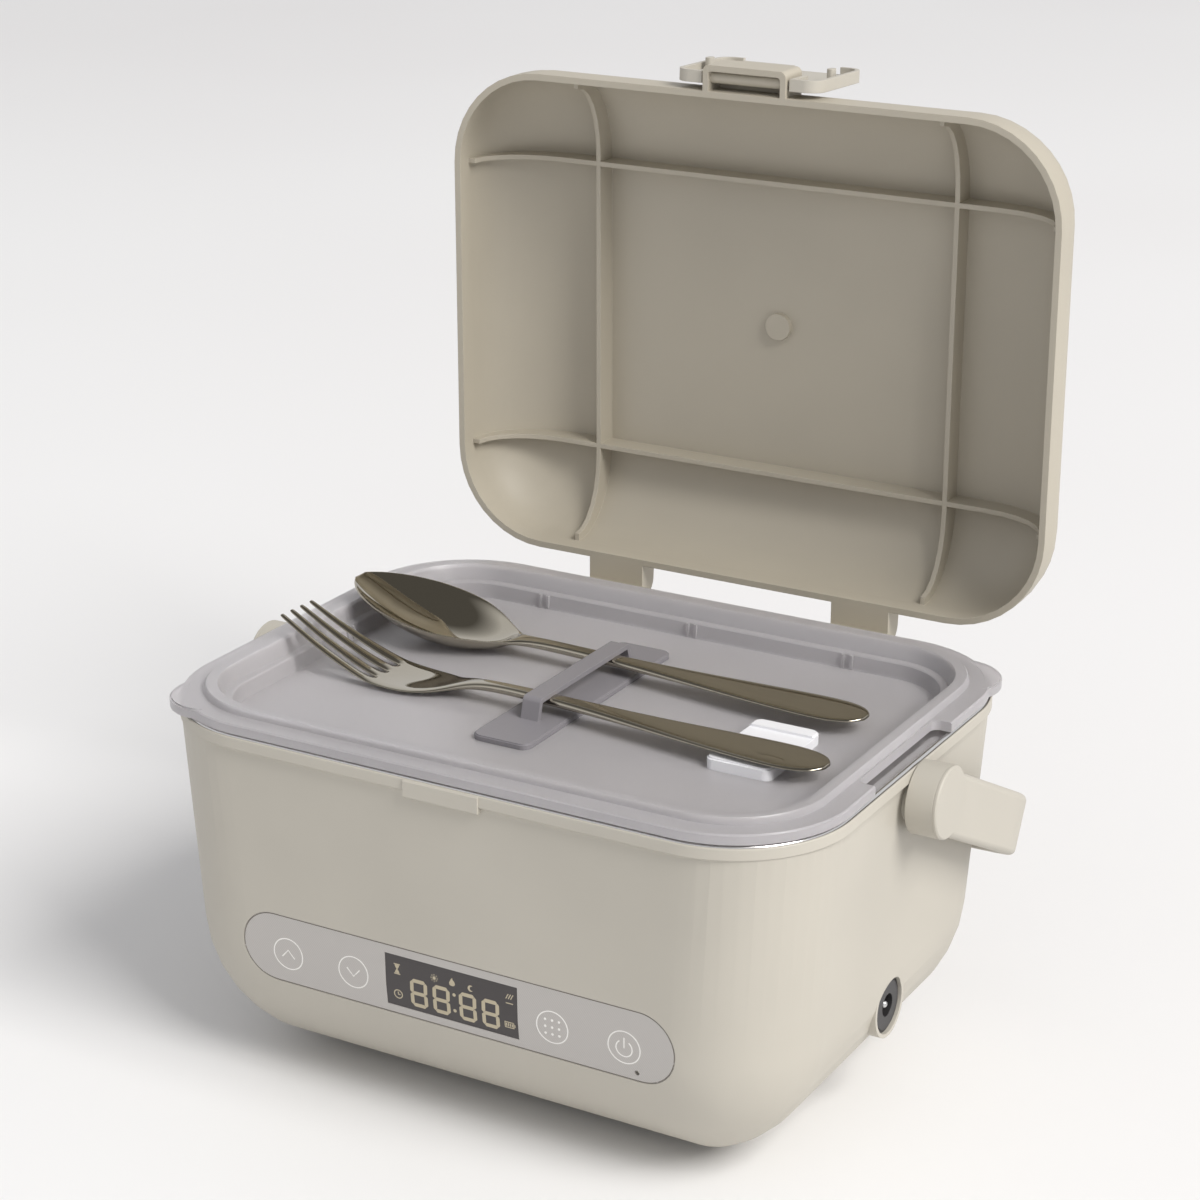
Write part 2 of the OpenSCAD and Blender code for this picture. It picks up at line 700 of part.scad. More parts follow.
module lid_ribs() {
  translate([0, 0, lid_z]) {
    for (s = [-1, 1]) {
      translate([0, s * rib_y + rib_t / 2, 0]) rotate([90, 0, 0]) linear_extrude(rib_t)
        rib_side(lid_w, lid_d, rib_y, 6);
      translate([s * rib_x - rib_t / 2, 0, 0]) rotate([90, 0, 90]) linear_extrude(rib_t)
        rib_side(lid_d, lid_w, rib_x, 7.5);
    }
    translate([0, 0, lid_h - lid_t - 2.2]) cylinder(r = 5, h = 2.4);
  }
}

module hinge_arms() {
  y = lid_d / 2;
  for (s = [-1, 1]) translate([s * arm_x - arm_w / 2, 0, 0]) rotate([90, 0, 90]) linear_extrude(arm_w) {
    translate([hinge_y, hinge_z]) circle(hinge_r);
    polygon(concat(
      [[y - 1, lid_z], [y + 8.3, lid_z], [hinge_y - 4, hinge_z + 1.2], [hinge_y + 4.15, hinge_z - 0.6]],
      [[hinge_y + 4.1, hinge_z + 3]], arc(hinge_y - 3.5, lid_z + 2, 7, 10, 80, 6), [[y - 1, lid_z + 9.5]]));
  }
}

// Bridge on the lid's front edge that carries the latch pivot.
module bridge(o = 0) {
  w = bridge_w - 2 * o;
  translate([0, -lid_d / 2, lid_z - 1]) linear_extrude(13 - o) intersection() {
    rrect(w, 2 * bridge_out - 2 * o, 2.2 - o / 2);
    translate([0, -20]) square([60, 40 + 4], center = true);
  }
}

// Cylinder along the latch's pivot, with the lid drawn shut.
module latch_axle(r, l) {
  translate([0, pivot_y, lid_z + pivot_t]) rotate([0, 90, 0]) cylinder(r = r, h = l, center = true);
}

module outer_lid() {
  color([0.74, 0.72, 0.67]) lid_pose() difference() {
    union() {
      difference() {
        union() {
          lid_form(0);
          translate([0, 0, 1]) bridge(0);
        }
        lid_form(lid_t);
        translate([0, 0, -1]) intersection() {
          bridge(2.2);
          translate([0, -lid_d / 2 - 50, lid_z]) cube([60, 100, 60], center = true);
        }
      }
      lid_ribs();
      hinge_arms();
      latch_axle(2.1, bridge_w - 3);
    }
    latch_axle(latch_pin_r + run, latch_w);
    for (s = [-1, 1]) translate([s * arm_x, hinge_y, hinge_z]) rotate([0, 90, 0])
      cylinder(r = pin_r + run, h = arm_w + 4, center = true);
  }
}

// Latch: drawn with its pivot on X, its length along Y and its open side up, then stood on the lid.
module latch_pose() {
  lid_pose() translate([0, pivot_y, lid_z + pivot_t]) rotate([90 - latch_lean, 0, 0]) children();
}

module latch() {
  w = latch_w;
  n = bridge_w / 2 + 0.9;
  color([0.74, 0.72, 0.67]) latch_pose() difference() {
    union() {
      difference() {
        translate([0, latch_l / 2 - 1.2, -2.2]) linear_extrude(latch_rim + 2.2) rrect(w, latch_l + 2.4, 6);
        translate([0, latch_l / 2 - 1.2, -0.6]) linear_extrude(6) rrect(w - 3.2, latch_l - 0.8, 4.4);
        translate([-w / 2 + 9, latch_l - 12, -0.6]) cube([w - 18, 20, 6]);
      }
      for (s = [-1, 1]) translate([s * (n + 0.8) - 0.8, -2.4, -2.2]) cube([1.6, 11.6, latch_rim + 2.2]);
      translate([-10, 14.6, -1]) cube([20, 1.8, 5.1]);
      for (s = [-1, 1]) translate([s * 24, 17, -1]) linear_extrude(5.1) rrect(2.4, 4, 1);
      translate([-w / 2 + 6, latch_l - 0.4, -2.2]) rotate([90, 0, 90]) linear_extrude(w - 12)
        polygon(concat([[-3, 0]], arc(-0.6, -0.6, 2.2, 90, 0, 4), [[1.6, -1.4], [0, -1.2]],
          arc(-1.6, -0.6, 0.8, 0, 90, 3), [[-3, 1.6]]));
    }
    translate([-n, -3.4, -10]) cube([2 * n, bridge_out + 1.9 + 3.4, 20]);
    rotate([0, 90, 0]) cylinder(r = latch_pin_r + run, h = 2 * n + 4, center = true);
  }
}

module latch_pin() {
  color([0.75, 0.75, 0.75]) lid_pose() latch_axle(latch_pin_r, bridge_w + 5);
}

// ---- handle ----

module bail_pose() {
  translate([0, 0, bail_z]) rotate([-bail_rest, 0, 0]) children();
}

module bail_section() {
  rrect(bail_t, bail_strap, 2.4);
}

module handle() {
  m = bail_w / 2 - bail_t / 2;
  c = bail_w / 2 - bail_bend;
  y = bail_reach - bail_bend;
  color([0.74, 0.72, 0.67]) bail_pose() difference() {
    union() {
      for (s = [-1, 1]) translate([s * m, 0, 0]) rotate([-90, 0, 0]) linear_extrude(y) bail_section();
      translate([c, y, 0]) rotate_extrude(angle = 90) translate([m - c, 0]) bail_section();
      translate([-c, y, 0]) rotate([0, 0, 90])
        rotate_extrude(angle = 90) translate([m - c, 0]) bail_section();
      translate([-c, y + m - c, 0]) rotate([90, 0, 90]) linear_extrude(2 * c) bail_section();
      for (s = [-90, 90]) rotate([0, s, 0]) translate([0, 0, hub_in]) cylinder(r = hub_r, h = hub_w);
    }
    rotate([0, 90, 0]) cylinder(r = hub_pin_r + run, h = bail_w + 10, center = true);
  }
}

module handle_caps() {
  color([0.74, 0.72, 0.67]) bail_pose() for (s = [-90, 90]) rotate([0, s, 0]) {
    translate([0, 0, bail_w / 2 + 0.05]) {
      cylinder(r = hub_r, h = 0.9);
      translate([0, 0, 0.9]) cylinder(r1 = hub_r, r2 = hub_r - 0.5, h = 0.5);
    }
    translate([0, 0, bail_w / 2 - 1.2]) cylinder(r = hub_pin_r, h = 1.5);
  }
}

// ---- parts list ----

housing();
control_panel();
display_lens();
display_module();
control_board();
dc_socket();
dc_pin();
inner_liner();
insulation();
heating_plate();
temperature_sensor();
thermal_fuse();
battery_tray();
battery_cells();
base_cover();
cover_screws();
feet();
hinge_pins();
handle_pins();
food_container();
container_lid();
lid_gasket();
vent_valve();
utensil_holder();
fork();
spoon();
outer_lid();
latch();
latch_pin();
handle();
handle_caps();
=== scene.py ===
# %% [markdown]
# # An electric lunch box, dressed for a studio picture
# The part was drawn in OpenSCAD at its real size and packed as a frame of named solids.
# Here Blender loads that frame and gives each solid its surface. Nothing changes size: every piece
# sits in the same place as the solid that it stands for, and moves with the same body.

# %% Load the frame
import json
import math

import bmesh
import bpy
from mathutils import Matrix, Vector


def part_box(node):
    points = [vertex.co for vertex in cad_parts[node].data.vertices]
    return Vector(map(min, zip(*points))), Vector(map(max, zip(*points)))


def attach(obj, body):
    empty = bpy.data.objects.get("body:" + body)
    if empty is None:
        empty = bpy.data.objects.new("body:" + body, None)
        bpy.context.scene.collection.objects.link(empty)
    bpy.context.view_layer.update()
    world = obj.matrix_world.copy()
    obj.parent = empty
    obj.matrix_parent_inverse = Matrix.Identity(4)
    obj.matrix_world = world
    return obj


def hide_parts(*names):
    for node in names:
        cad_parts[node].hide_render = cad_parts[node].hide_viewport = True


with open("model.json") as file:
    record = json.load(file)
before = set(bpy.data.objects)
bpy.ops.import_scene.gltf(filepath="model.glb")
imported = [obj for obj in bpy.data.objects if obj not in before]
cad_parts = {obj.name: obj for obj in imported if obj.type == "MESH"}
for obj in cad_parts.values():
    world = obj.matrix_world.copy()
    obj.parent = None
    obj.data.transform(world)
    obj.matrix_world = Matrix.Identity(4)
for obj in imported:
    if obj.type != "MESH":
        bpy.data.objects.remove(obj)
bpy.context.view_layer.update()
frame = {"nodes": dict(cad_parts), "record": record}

nodes = frame["nodes"]
home = {node: body for body, members in frame["record"]["behaviour"]["bodies"].items() for node in members}

# %% [markdown]
# ## Units and colours
# Blender works in metres and the part was drawn in millimetres, so one factor turns the one into the
# other. Colours are picked as they look on a screen, and Cycles wants them linear, so one small
# function bends the screen's curve straight.

# %% Units and colours
MM = 0.001


def channel(value):
    """One 0 to 255 screen channel as a linear number."""
    c = value / 255
    return c / 12.92 if c <= 0.04045 else ((c + 0.055) / 1.055) ** 2.4


def screen(red, green, blue):
    """A screen colour as the four linear numbers that a socket takes."""
    return (channel(red), channel(green), channel(blue), 1.0)


def linked(name, mesh):
    """A new object at the origin, put into the scene."""
    obj = bpy.data.objects.new(name, mesh)
    bpy.context.scene.collection.objects.link(obj)
    return obj


# %% [markdown]
# ## Wiring nodes
# The world, the materials and the copying trees are all made of nodes. One function adds a node and
# sets its plain inputs, one joins sockets in pairs, and one makes a Math node.

# %% Wiring helpers
def add(tree, kind, **inputs):
    """A new node, its named inputs set to plain values."""
    node = tree.nodes.new(kind)
    for label, value in inputs.items():
        node.inputs[label.replace("_", " ")].default_value = value
    return node


def wire(tree, *pairs):
    """Joins pairs of sockets, each an output and an input."""
    for output, socket in pairs:
        tree.links.new(output, socket)


def math_node(tree, operation, first, second=None):
    """A Math node fed with sockets or plain numbers."""
    node = tree.nodes.new("ShaderNodeMath")
    node.operation = operation
    for socket, value in zip(node.inputs, (first, second)):
        if isinstance(value, (int, float)):
            socket.default_value = value
        elif value is not None:
            tree.links.new(value, socket)
    return node.outputs[0]


# %% [markdown]
# ## The camera
# The picture was taken with a long lens from the right of the front, a little above the box. The
# camera is set by its place and by three turns: azimuth round the box, elevation above the table,
# and a quarter of a degree of roll. Its axes are worked out from those turns and put in one matrix.

# %% Camera
CAMERA_PLACE = Vector((0.453391, -0.792932, 0.491381))
CAMERA_AZIMUTH = math.radians(29.52)
CAMERA_ELEVATION = math.radians(19.84)
CAMERA_ROLL = math.radians(0.249)
FOCAL_LENGTH = 86.52

back = Vector((
    math.sin(CAMERA_AZIMUTH) * math.cos(CAMERA_ELEVATION),
    -math.cos(CAMERA_AZIMUTH) * math.cos(CAMERA_ELEVATION),
    math.sin(CAMERA_ELEVATION),
))
level = Vector((math.cos(CAMERA_AZIMUTH), math.sin(CAMERA_AZIMUTH), 0))
rise = back.cross(level)
right = level * math.cos(CAMERA_ROLL) + rise * math.sin(CAMERA_ROLL)
up = back.cross(right)

lens = bpy.data.cameras.new("studio_camera")
lens.lens = FOCAL_LENGTH
lens.sensor_width = 36
lens.clip_start = 0.05
lens.clip_end = 60
camera = linked("studio_camera", lens)
camera.matrix_world = Matrix.Translation(CAMERA_PLACE) @ Matrix((right, up, back)).transposed().to_4x4()
bpy.context.scene.camera = camera
bpy.context.scene.view_settings.view_transform = "Standard"
print("camera looks along", [round(-c, 3) for c in back])

# %% [markdown]
# ## The studio
# A product picture like this has one broad soft light on the right, and pale walls that fill the
# shadows. A square area lamp makes the broad light. It stands nine metres off, so that the far floor
# gets a little less of it than the near floor. The world makes the fill. Rays that the camera or a
# shiny surface sends out see a brighter world than the one that lights the box, so the backdrop is
# pale and the colours stay true. That brighter world has a dark ceiling, which the cutlery mirrors.

# %% World
FILL_STRENGTH = 0.57
WALL_TONES = [(0.0, (150, 148, 146)), (0.25, (238, 238, 240)), (0.55, (238, 238, 240)),
              (0.85, (105, 103, 100))]

world = bpy.data.worlds.new("studio")
bpy.context.scene.world = world
world.use_nodes = True
tree = world.node_tree
tree.nodes.clear()
sky_out = tree.nodes.new("ShaderNodeOutputWorld")
fill = add(tree, "ShaderNodeBackground", Color=screen(250, 250, 252), Strength=FILL_STRENGTH)
seen = add(tree, "ShaderNodeBackground", Strength=1.0)
path = tree.nodes.new("ShaderNodeLightPath")
glossy, through = path.outputs["Is Glossy Ray"], path.outputs["Is Transmission Ray"]
clear_or_shiny = math_node(tree, "MAXIMUM", glossy, through)
any_seen = math_node(tree, "MAXIMUM", path.outputs["Is Camera Ray"], clear_or_shiny)
pick = tree.nodes.new("ShaderNodeMixShader")
direction = tree.nodes.new("ShaderNodeTexCoord")
split = tree.nodes.new("ShaderNodeSeparateXYZ")
ramp = tree.nodes.new("ShaderNodeValToRGB")
for height, tone in WALL_TONES[1:-1]:
    ramp.color_ramp.elements.new(height)
for element, (height, tone) in zip(ramp.color_ramp.elements, WALL_TONES):
    element.position = height
    element.color = screen(*tone)
wire(
    tree,
    (direction.outputs["Generated"], split.inputs[0]),
    (split.outputs["Z"], ramp.inputs["Fac"]),
    (ramp.outputs["Color"], seen.inputs["Color"]),
    (any_seen, pick.inputs[0]),
    (fill.outputs[0], pick.inputs[1]),
    (seen.outputs[0], pick.inputs[2]),
    (pick.outputs[0], sky_out.inputs["Surface"]),
)

# %% Lamp
KEY_FROM = Vector((1.0, -0.24, 1.0)).normalized()
KEY_DISTANCE = 9.0
KEY_SIZE = 4.4
KEY_POWER = 760.0
key = bpy.data.lights.new("key_light", "AREA")
key.shape = "SQUARE"
key.size = KEY_SIZE
key.energy = KEY_POWER
key.color = screen(255, 253, 250)[:3]
key_lamp = linked("key_light", key)
key_lamp.location = KEY_FROM * KEY_DISTANCE
key_lamp.rotation_euler = (-KEY_FROM).to_track_quat("-Z", "Y").to_euler()

# %% [markdown]
# ## Shader helpers
# Most surfaces share a few effects: the fine grain of a moulded surface, the softened edge that a
# mould leaves, faint handling marks on polish, and fine slanting lines. Each effect is one node group
# with named inputs. A group gives only values and normals. The Principled shader itself stays in
# each material, where its plain numbers are set on its own sockets.

# %% Node group helper
def new_group(name, inputs, outputs):
    """A shader node group with named sockets, and its two end nodes."""
    group = bpy.data.node_groups.new(name, "ShaderNodeTree")
    for label, kind, value in inputs:
        socket = group.interface.new_socket(label, in_out="INPUT", socket_type=kind)
        if value is not None:
            socket.default_value = value
    for label, kind in outputs:
        group.interface.new_socket(label, in_out="OUTPUT", socket_type=kind)
    return group, group.nodes.new("NodeGroupInput"), group.nodes.new("NodeGroupOutput")


# %% Moulded grain: a fine even texture and slow changes of tone
grain_group, grain_in, grain_out = new_group(
    "moulded_grain",
    [("Vector", "NodeSocketVector", None), ("Grain Scale", "NodeSocketFloat", 2600.0),
     ("Mottle Scale", "NodeSocketFloat", 14.0)],
    [("Height", "NodeSocketFloat"), ("Tone", "NodeSocketFloat")],
)
fine = add(grain_group, "ShaderNodeTexNoise", Detail=3)
slow = add(grain_group, "ShaderNodeTexNoise", Detail=2)
wire(
    grain_group,
    (grain_in.outputs["Vector"], fine.inputs["Vector"]),
    (grain_in.outputs["Grain Scale"], fine.inputs["Scale"]),
    (grain_in.outputs["Vector"], slow.inputs["Vector"]),
    (grain_in.outputs["Mottle Scale"], slow.inputs["Scale"]),
    (fine.outputs["Fac"], grain_out.inputs["Height"]),
    (slow.outputs["Fac"], grain_out.inputs["Tone"]),
)

# %% Soft edge: the small radius that a mould leaves on an edge, and a mask of where it is
edge_group, edge_in, edge_out = new_group(
    "soft_edge",
    [("Radius", "NodeSocketFloat", 0.4 * MM)],
    [("Normal", "NodeSocketVector"), ("Mask", "NodeSocketFloat")],
)
rounded = edge_group.nodes.new("ShaderNodeBevel")
rounded.samples = 6
flat = edge_group.nodes.new("ShaderNodeNewGeometry")
agree = edge_group.nodes.new("ShaderNodeVectorMath")
agree.operation = "DOT_PRODUCT"
wire(
    edge_group,
    (edge_in.outputs["Radius"], rounded.inputs["Radius"]),
    (rounded.outputs["Normal"], agree.inputs[0]),
    (flat.outputs["Normal"], agree.inputs[1]),
)
turned = math_node(edge_group, "SUBTRACT", 1.0, agree.outputs["Value"])
strong = math_node(edge_group, "MULTIPLY", turned, 4.0)
edge_group.links.new(rounded.outputs["Normal"], edge_out.inputs["Normal"])
edge_group.links.new(strong, edge_out.inputs["Mask"])

# %% Handling marks: faint smears and fine scratches that change the polish
marks_group, marks_in, marks_out = new_group(
    "handling_marks",
    [("Vector", "NodeSocketVector", None), ("Scale", "NodeSocketFloat", 30.0),
     ("Low", "NodeSocketFloat", 0.08), ("High", "NodeSocketFloat", 0.16)],
    [("Roughness", "NodeSocketFloat"), ("Height", "NodeSocketFloat")],
)
smear = add(marks_group, "ShaderNodeTexNoise", Detail=4, Roughness=0.6)
scratch = add(marks_group, "ShaderNodeTexNoise", Scale=60, Detail=2)
stretch = add(marks_group, "ShaderNodeMapping", Scale=(1.0, 60.0, 60.0))
reach = add(marks_group, "ShaderNodeMapRange", From_Min=0.3, From_Max=0.7)
wire(
    marks_group,
    (marks_in.outputs["Vector"], smear.inputs["Vector"]),
    (marks_in.outputs["Scale"], smear.inputs["Scale"]),
    (marks_in.outputs["Vector"], stretch.inputs["Vector"]),
    (stretch.outputs["Vector"], scratch.inputs["Vector"]),
    (smear.outputs["Fac"], reach.inputs["Value"]),
    (marks_in.outputs["Low"], reach.inputs["To Min"]),
    (marks_in.outputs["High"], reach.inputs["To Max"]),
    (reach.outputs["Result"], marks_out.inputs["Roughness"]),
    (scratch.outputs["Fac"], marks_out.inputs["Height"]),
)

# %% Slanting lines: the fine diagonal ribbing of the front panel and its window
lines_group, lines_in, lines_out = new_group(
    "slanting_lines",
    [("Vector", "NodeSocketVector", None), ("Scale", "NodeSocketFloat", 400.0)],
    [("Height", "NodeSocketFloat")],
)
slant = add(lines_group, "ShaderNodeMapping", Rotation=(0.0, math.radians(38), 0.0))
bands = lines_group.nodes.new("ShaderNodeTexWave")
bands.wave_type = "BANDS"
bands.bands_direction = "X"
wire(
    lines_group,
    (lines_in.outputs["Vector"], slant.inputs["Vector"]),
    (slant.outputs["Vector"], bands.inputs["Vector"]),
    (lines_in.outputs["Scale"], bands.inputs["Scale"]),
    (bands.outputs["Fac"], lines_out.inputs["Height"]),
)

# %% [markdown]
# ## Material helpers
# Each finish starts the same way: a Principled shader, the object's own coordinates, and a Bump node
# that turns a height into a normal. The tone of the colour drifts a little between two near shades,
# as real moulded plastic does, and is painted a touch lighter along every edge, a painted highlight.

# %% Material helpers
def new_finish(name):
    """A material with its Principled shader and its object coordinates."""
    material = bpy.data.materials.new(name)
    material.use_nodes = True
    tree = material.node_tree
    shader = tree.nodes["Principled BSDF"]
    place = tree.nodes.new("ShaderNodeTexCoord").outputs["Object"]
    return material, tree, shader, place


def use_group(tree, group, place, **values):
    """A node group placed in a material, its named inputs set."""
    node = tree.nodes.new("ShaderNodeGroup")
    node.node_tree = group
    if place is not None:
        tree.links.new(place, node.inputs["Vector"])
    for label, value in values.items():
        node.inputs[label.replace("_", " ")].default_value = value
    return node


def bump(tree, shader, height, depth, normal=None):
    """Turns height, 0 to 1, into a normal. Depth is in metres."""
    node = tree.nodes.new("ShaderNodeBump")
    node.inputs["Distance"].default_value = depth
    tree.links.new(height, node.inputs["Height"])
    if normal is not None:
        tree.links.new(normal, node.inputs["Normal"])
    tree.links.new(node.outputs["Normal"], shader.inputs["Normal"])


def two_tones(tree, mask, first, second, low=0.35, high=0.65):
    """A colour that goes from first to second as mask rises."""
    node = tree.nodes.new("ShaderNodeValToRGB")
    node.color_ramp.elements[0].position = low
    node.color_ramp.elements[0].color = first
    node.color_ramp.elements[1].position = high
    node.color_ramp.elements[1].color = second
    tree.links.new(mask, node.inputs["Fac"])
    return node.outputs["Color"]


def mixed(tree, mask, first, second):
    """A colour that goes from the socket first to the plain colour second as mask rises."""
    node = tree.nodes.new("ShaderNodeMix")
    node.data_type = "RGBA"
    node.clamp_factor = True
    tree.links.new(mask, node.inputs["Factor"])
    tree.links.new(first, node.inputs[6])
    node.inputs[7].default_value = second
    return node.outputs[2]


def shade(color, factor):
    """The same colour, lighter or darker by factor."""
    return tuple(min(1.0, c * factor) for c in color[:3]) + (1.0,)


# %% [markdown]
# ## Moulded plastics
# The shell, the lid and the handle are one warm grey-beige plastic with a fine satin grain. One
# function makes every moulded plastic of the box, because they differ only in colour, in gloss and
# in how coarse the grain is.

# %% Moulded plastics
def moulded(name, color, roughness, grain=2600.0, depth=0.012, edge=0.35, drift=0.03):
    """A grained plastic with softened edges, painted slightly lighter as a highlight."""
    material, tree, shader, place = new_finish(name)
    skin = use_group(tree, grain_group, place, Grain_Scale=grain)
    soft = use_group(tree, edge_group, None, Radius=edge * MM)
    tone = two_tones(tree, skin.outputs["Tone"], shade(color, 1 - drift), shade(color, 1 + drift))
    # Painted highlight: the colour turns 12 percent lighter along every edge, where light catches it.
    painted_edge_highlight = mixed(tree, soft.outputs["Mask"], tone, shade(color, 1.12))
    tree.links.new(painted_edge_highlight, shader.inputs["Base Color"])
    polish = tree.nodes.new("ShaderNodeMapRange")
    polish.inputs["To Min"].default_value = roughness - 0.06
    polish.inputs["To Max"].default_value = roughness + 0.06
    tree.links.new(skin.outputs["Tone"], polish.inputs["Value"])
    tree.links.new(polish.outputs["Result"], shader.inputs["Roughness"])
    bump(tree, shader, skin.outputs["Height"], depth * MM, soft.outputs["Normal"])
    return material


SHELL = screen(186, 181, 170)
shell = moulded("shell", SHELL, 0.52)
shell_dark = moulded("shell_dark", screen(166, 161, 150), 0.55)
grey_plastic = moulded("grey_plastic", screen(134, 131, 135), 0.42, grain=3200.0)
white_plastic = moulded("white_plastic", screen(240, 240, 243), 0.3, grain=3600.0, depth=0.006)
dark_plastic = moulded("dark_plastic", screen(48, 47, 48), 0.4, grain=3000.0)
rubber = moulded("rubber", screen(52, 52, 54), 0.75, grain=1500.0, depth=0.03)
board = moulded("board", screen(38, 92, 62), 0.5, grain=900.0)
cell_wrap = moulded("cell_wrap", screen(66, 108, 150), 0.35, grain=1200.0)
insulation = moulded("insulation", screen(232, 229, 218), 0.9, grain=400.0, depth=0.2)
print("plastics made")

# %% [markdown]
# ## The lid's inside
# The flat inside of the outer lid isn't quite flat: it rises in four very shallow slopes from the
# ribs to the round gate mark in its middle, as a moulding does where the plastic was let in. The
# slopes are too slight for the solid, so they are made as a height: the larger of two distances from
# the middle, which gives one constant slope on each of the four sides.

# %% Lid plastic
# The lid's plastic is the shell's, painted darker and warmer: painted shade for the inside of the open lid,
# which faces away from the lamp.
shaded_lid_plastic = moulded("shaded_lid_plastic", screen(180, 173, 158), 0.5)
tree = shaded_lid_plastic.node_tree
shader = tree.nodes["Principled BSDF"]
place = tree.nodes.new("ShaderNodeTexCoord").outputs["Object"]
lid_low, lid_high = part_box("outer_lid")
FIELD_HALF_X = 71 * MM
FIELD_HALF_Z = 53.8 * MM
FIELD_RISE = 1.1 * MM
field_mid = (lid_low.z + lid_high.z) / 2
lid_split = tree.nodes.new("ShaderNodeSeparateXYZ")
tree.links.new(place, lid_split.inputs[0])
across = math_node(tree, "DIVIDE", math_node(tree, "ABSOLUTE", lid_split.outputs["X"]), FIELD_HALF_X)
from_mid = math_node(tree, "SUBTRACT", lid_split.outputs["Z"], field_mid)
along = math_node(tree, "DIVIDE", math_node(tree, "ABSOLUTE", from_mid), FIELD_HALF_Z)
far = math_node(tree, "MAXIMUM", across, along)
slopes = math_node(tree, "SUBTRACT", 1.0, math_node(tree, "MINIMUM", far, 1.0))
slope_bump = add(tree, "ShaderNodeBump", Distance=FIELD_RISE)
tree.links.new(slopes, slope_bump.inputs["Height"])
grain_bump = next(n for n in tree.nodes if n.type == "BUMP" and n != slope_bump)
edge_normal = grain_bump.inputs["Normal"].links[0].from_socket
tree.links.new(edge_normal, slope_bump.inputs["Normal"])
tree.links.new(slope_bump.outputs["Normal"], grain_bump.inputs["Normal"])

# %% [markdown]
# ## Frosted plastic
# The food container's lid is a milky see-through plastic: it lets light pass but blurs what lies
# below. A high Transmission and some roughness do that, and a fine grain scatters the light.

# %% Frosted plastic
frosted, tree, shader, place = new_finish("frosted")
skin = use_group(tree, grain_group, place, Grain_Scale=1800.0, Mottle_Scale=9.0)
milk = two_tones(tree, skin.outputs["Tone"], screen(222, 219, 221), screen(232, 229, 231))
tree.links.new(milk, shader.inputs["Base Color"])
shader.inputs["Roughness"].default_value = 0.3
shader.inputs["Transmission Weight"].default_value = 0.6
shader.inputs["IOR"].default_value = 1.4
bump(tree, shader, skin.outputs["Height"], 0.01 * MM)

silicone, tree, shader, place = new_finish("silicone")
skin = use_group(tree, grain_group, place, Grain_Scale=1800.0)
milk = two_tones(tree, skin.outputs["Tone"], screen(218, 218, 220), screen(232, 232, 233))
tree.links.new(milk, shader.inputs["Base Color"])
shader.inputs["Roughness"].default_value = 0.5
shader.inputs["Transmission Weight"].default_value = 0.35
bump(tree, shader, skin.outputs["Height"], 0.01 * MM)

# %% [markdown]
# ## Metals
# Four metals: the mirror-bright cutlery, tinted warm grey as a painted reflection of the olive lid
# above it, the satin steel of the container, plain bright metal for pins and screws, and the heater's
# aluminium. The marks group varies the polish.

# %% Metals
def metal(name, color, low, high, scale=30.0, scratch=0.0015):
    """A metal whose polish varies between low and high roughness."""
    material, tree, shader, place = new_finish(name)
    shader.inputs["Metallic"].default_value = 1.0
    marks = use_group(tree, marks_group, place, Scale=scale, Low=low, High=high)
    tone = two_tones(tree, marks.outputs["Height"], shade(color, 0.97), color)
    tree.links.new(tone, shader.inputs["Base Color"])
    tree.links.new(marks.outputs["Roughness"], shader.inputs["Roughness"])
    bump(tree, shader, marks.outputs["Height"], scratch * MM)
    return material


# The cutlery's warm grey is partly painted reflection: the tint of the olive lid that it mirrors.
polished_steel = metal("polished_steel", screen(176, 170, 156), 0.02, 0.05)
steel = metal("steel", screen(214, 213, 212), 0.14, 0.24, scale=20.0, scratch=0.004)
bright_metal = metal("bright_metal", screen(208, 208, 208), 0.2, 0.32)
aluminium = metal("aluminium", screen(190, 191, 194), 0.3, 0.42, scratch=0.006)
print("metals made")

# %% [markdown]
# ## Panel, window and print
# The front panel is a satin film with fine slanting ribs. The window in it is dark, glossier, and
# has the same ribs behind its surface. The signs on the keys are printed white, and those in the
# window are a warm unlit display colour.

# %% Panel and window
def ribbed_film(name, color, roughness, scale, depth, coat):
    """A film with fine slanting ribs that show in its colour and its surface."""
    material, tree, shader, place = new_finish(name)
    ribs = use_group(tree, lines_group, place, Scale=scale)
    tone = two_tones(tree, ribs.outputs["Height"], shade(color, 0.94), shade(color, 1.05), 0.2, 0.8)
    tree.links.new(tone, shader.inputs["Base Color"])
    shader.inputs["Roughness"].default_value = roughness
    shader.inputs["Coat Weight"].default_value = coat
    shader.inputs["Coat Roughness"].default_value = 0.12
    bump(tree, shader, ribs.outputs["Height"], depth * MM)
    return material


panel_film = ribbed_film("panel", screen(184, 180, 176), 0.42, 420.0, 0.006, 0.1)
window_film = ribbed_film("lens", screen(56, 51, 51), 0.34, 420.0, 0.006, 0.25)
white_print = moulded("white_print", screen(236, 234, 230), 0.45, grain=2000.0, depth=0.004, edge=0.05)
display_print = moulded("display_print", screen(186, 175, 150), 0.45, grain=2000.0, depth=0.004, edge=0.05)
outline_print = moulded("outline_print", screen(112, 106, 98), 0.6, grain=2000.0, depth=0.004, edge=0.05)

# %% [markdown]
# ## Dressing the moulded solids
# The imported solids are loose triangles, so light would show every facet. A copy of each visible one
# is welded and shaded smooth, with sharp edges kept where two faces meet at more than 30 degrees. A
# Weighted Normal modifier lets the big flat faces set the direction and leaves the turn to the small
# ones, as a moulded shell's flat walls and tight corners do. The copy then stands for its solid.

# %% Dressing helper
def as_mesh(obj):
    """The object with its modifiers made part of a plain mesh."""
    depsgraph = bpy.context.evaluated_depsgraph_get()
    mesh = bpy.data.meshes.new_from_object(obj.evaluated_get(depsgraph))
    obj.modifiers.clear()
    obj.data = mesh
    return obj


def seat(obj, node):
    """The piece stands for its CAD node and rides on the same body."""
    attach(obj, home[node])
    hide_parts(node)
    return obj


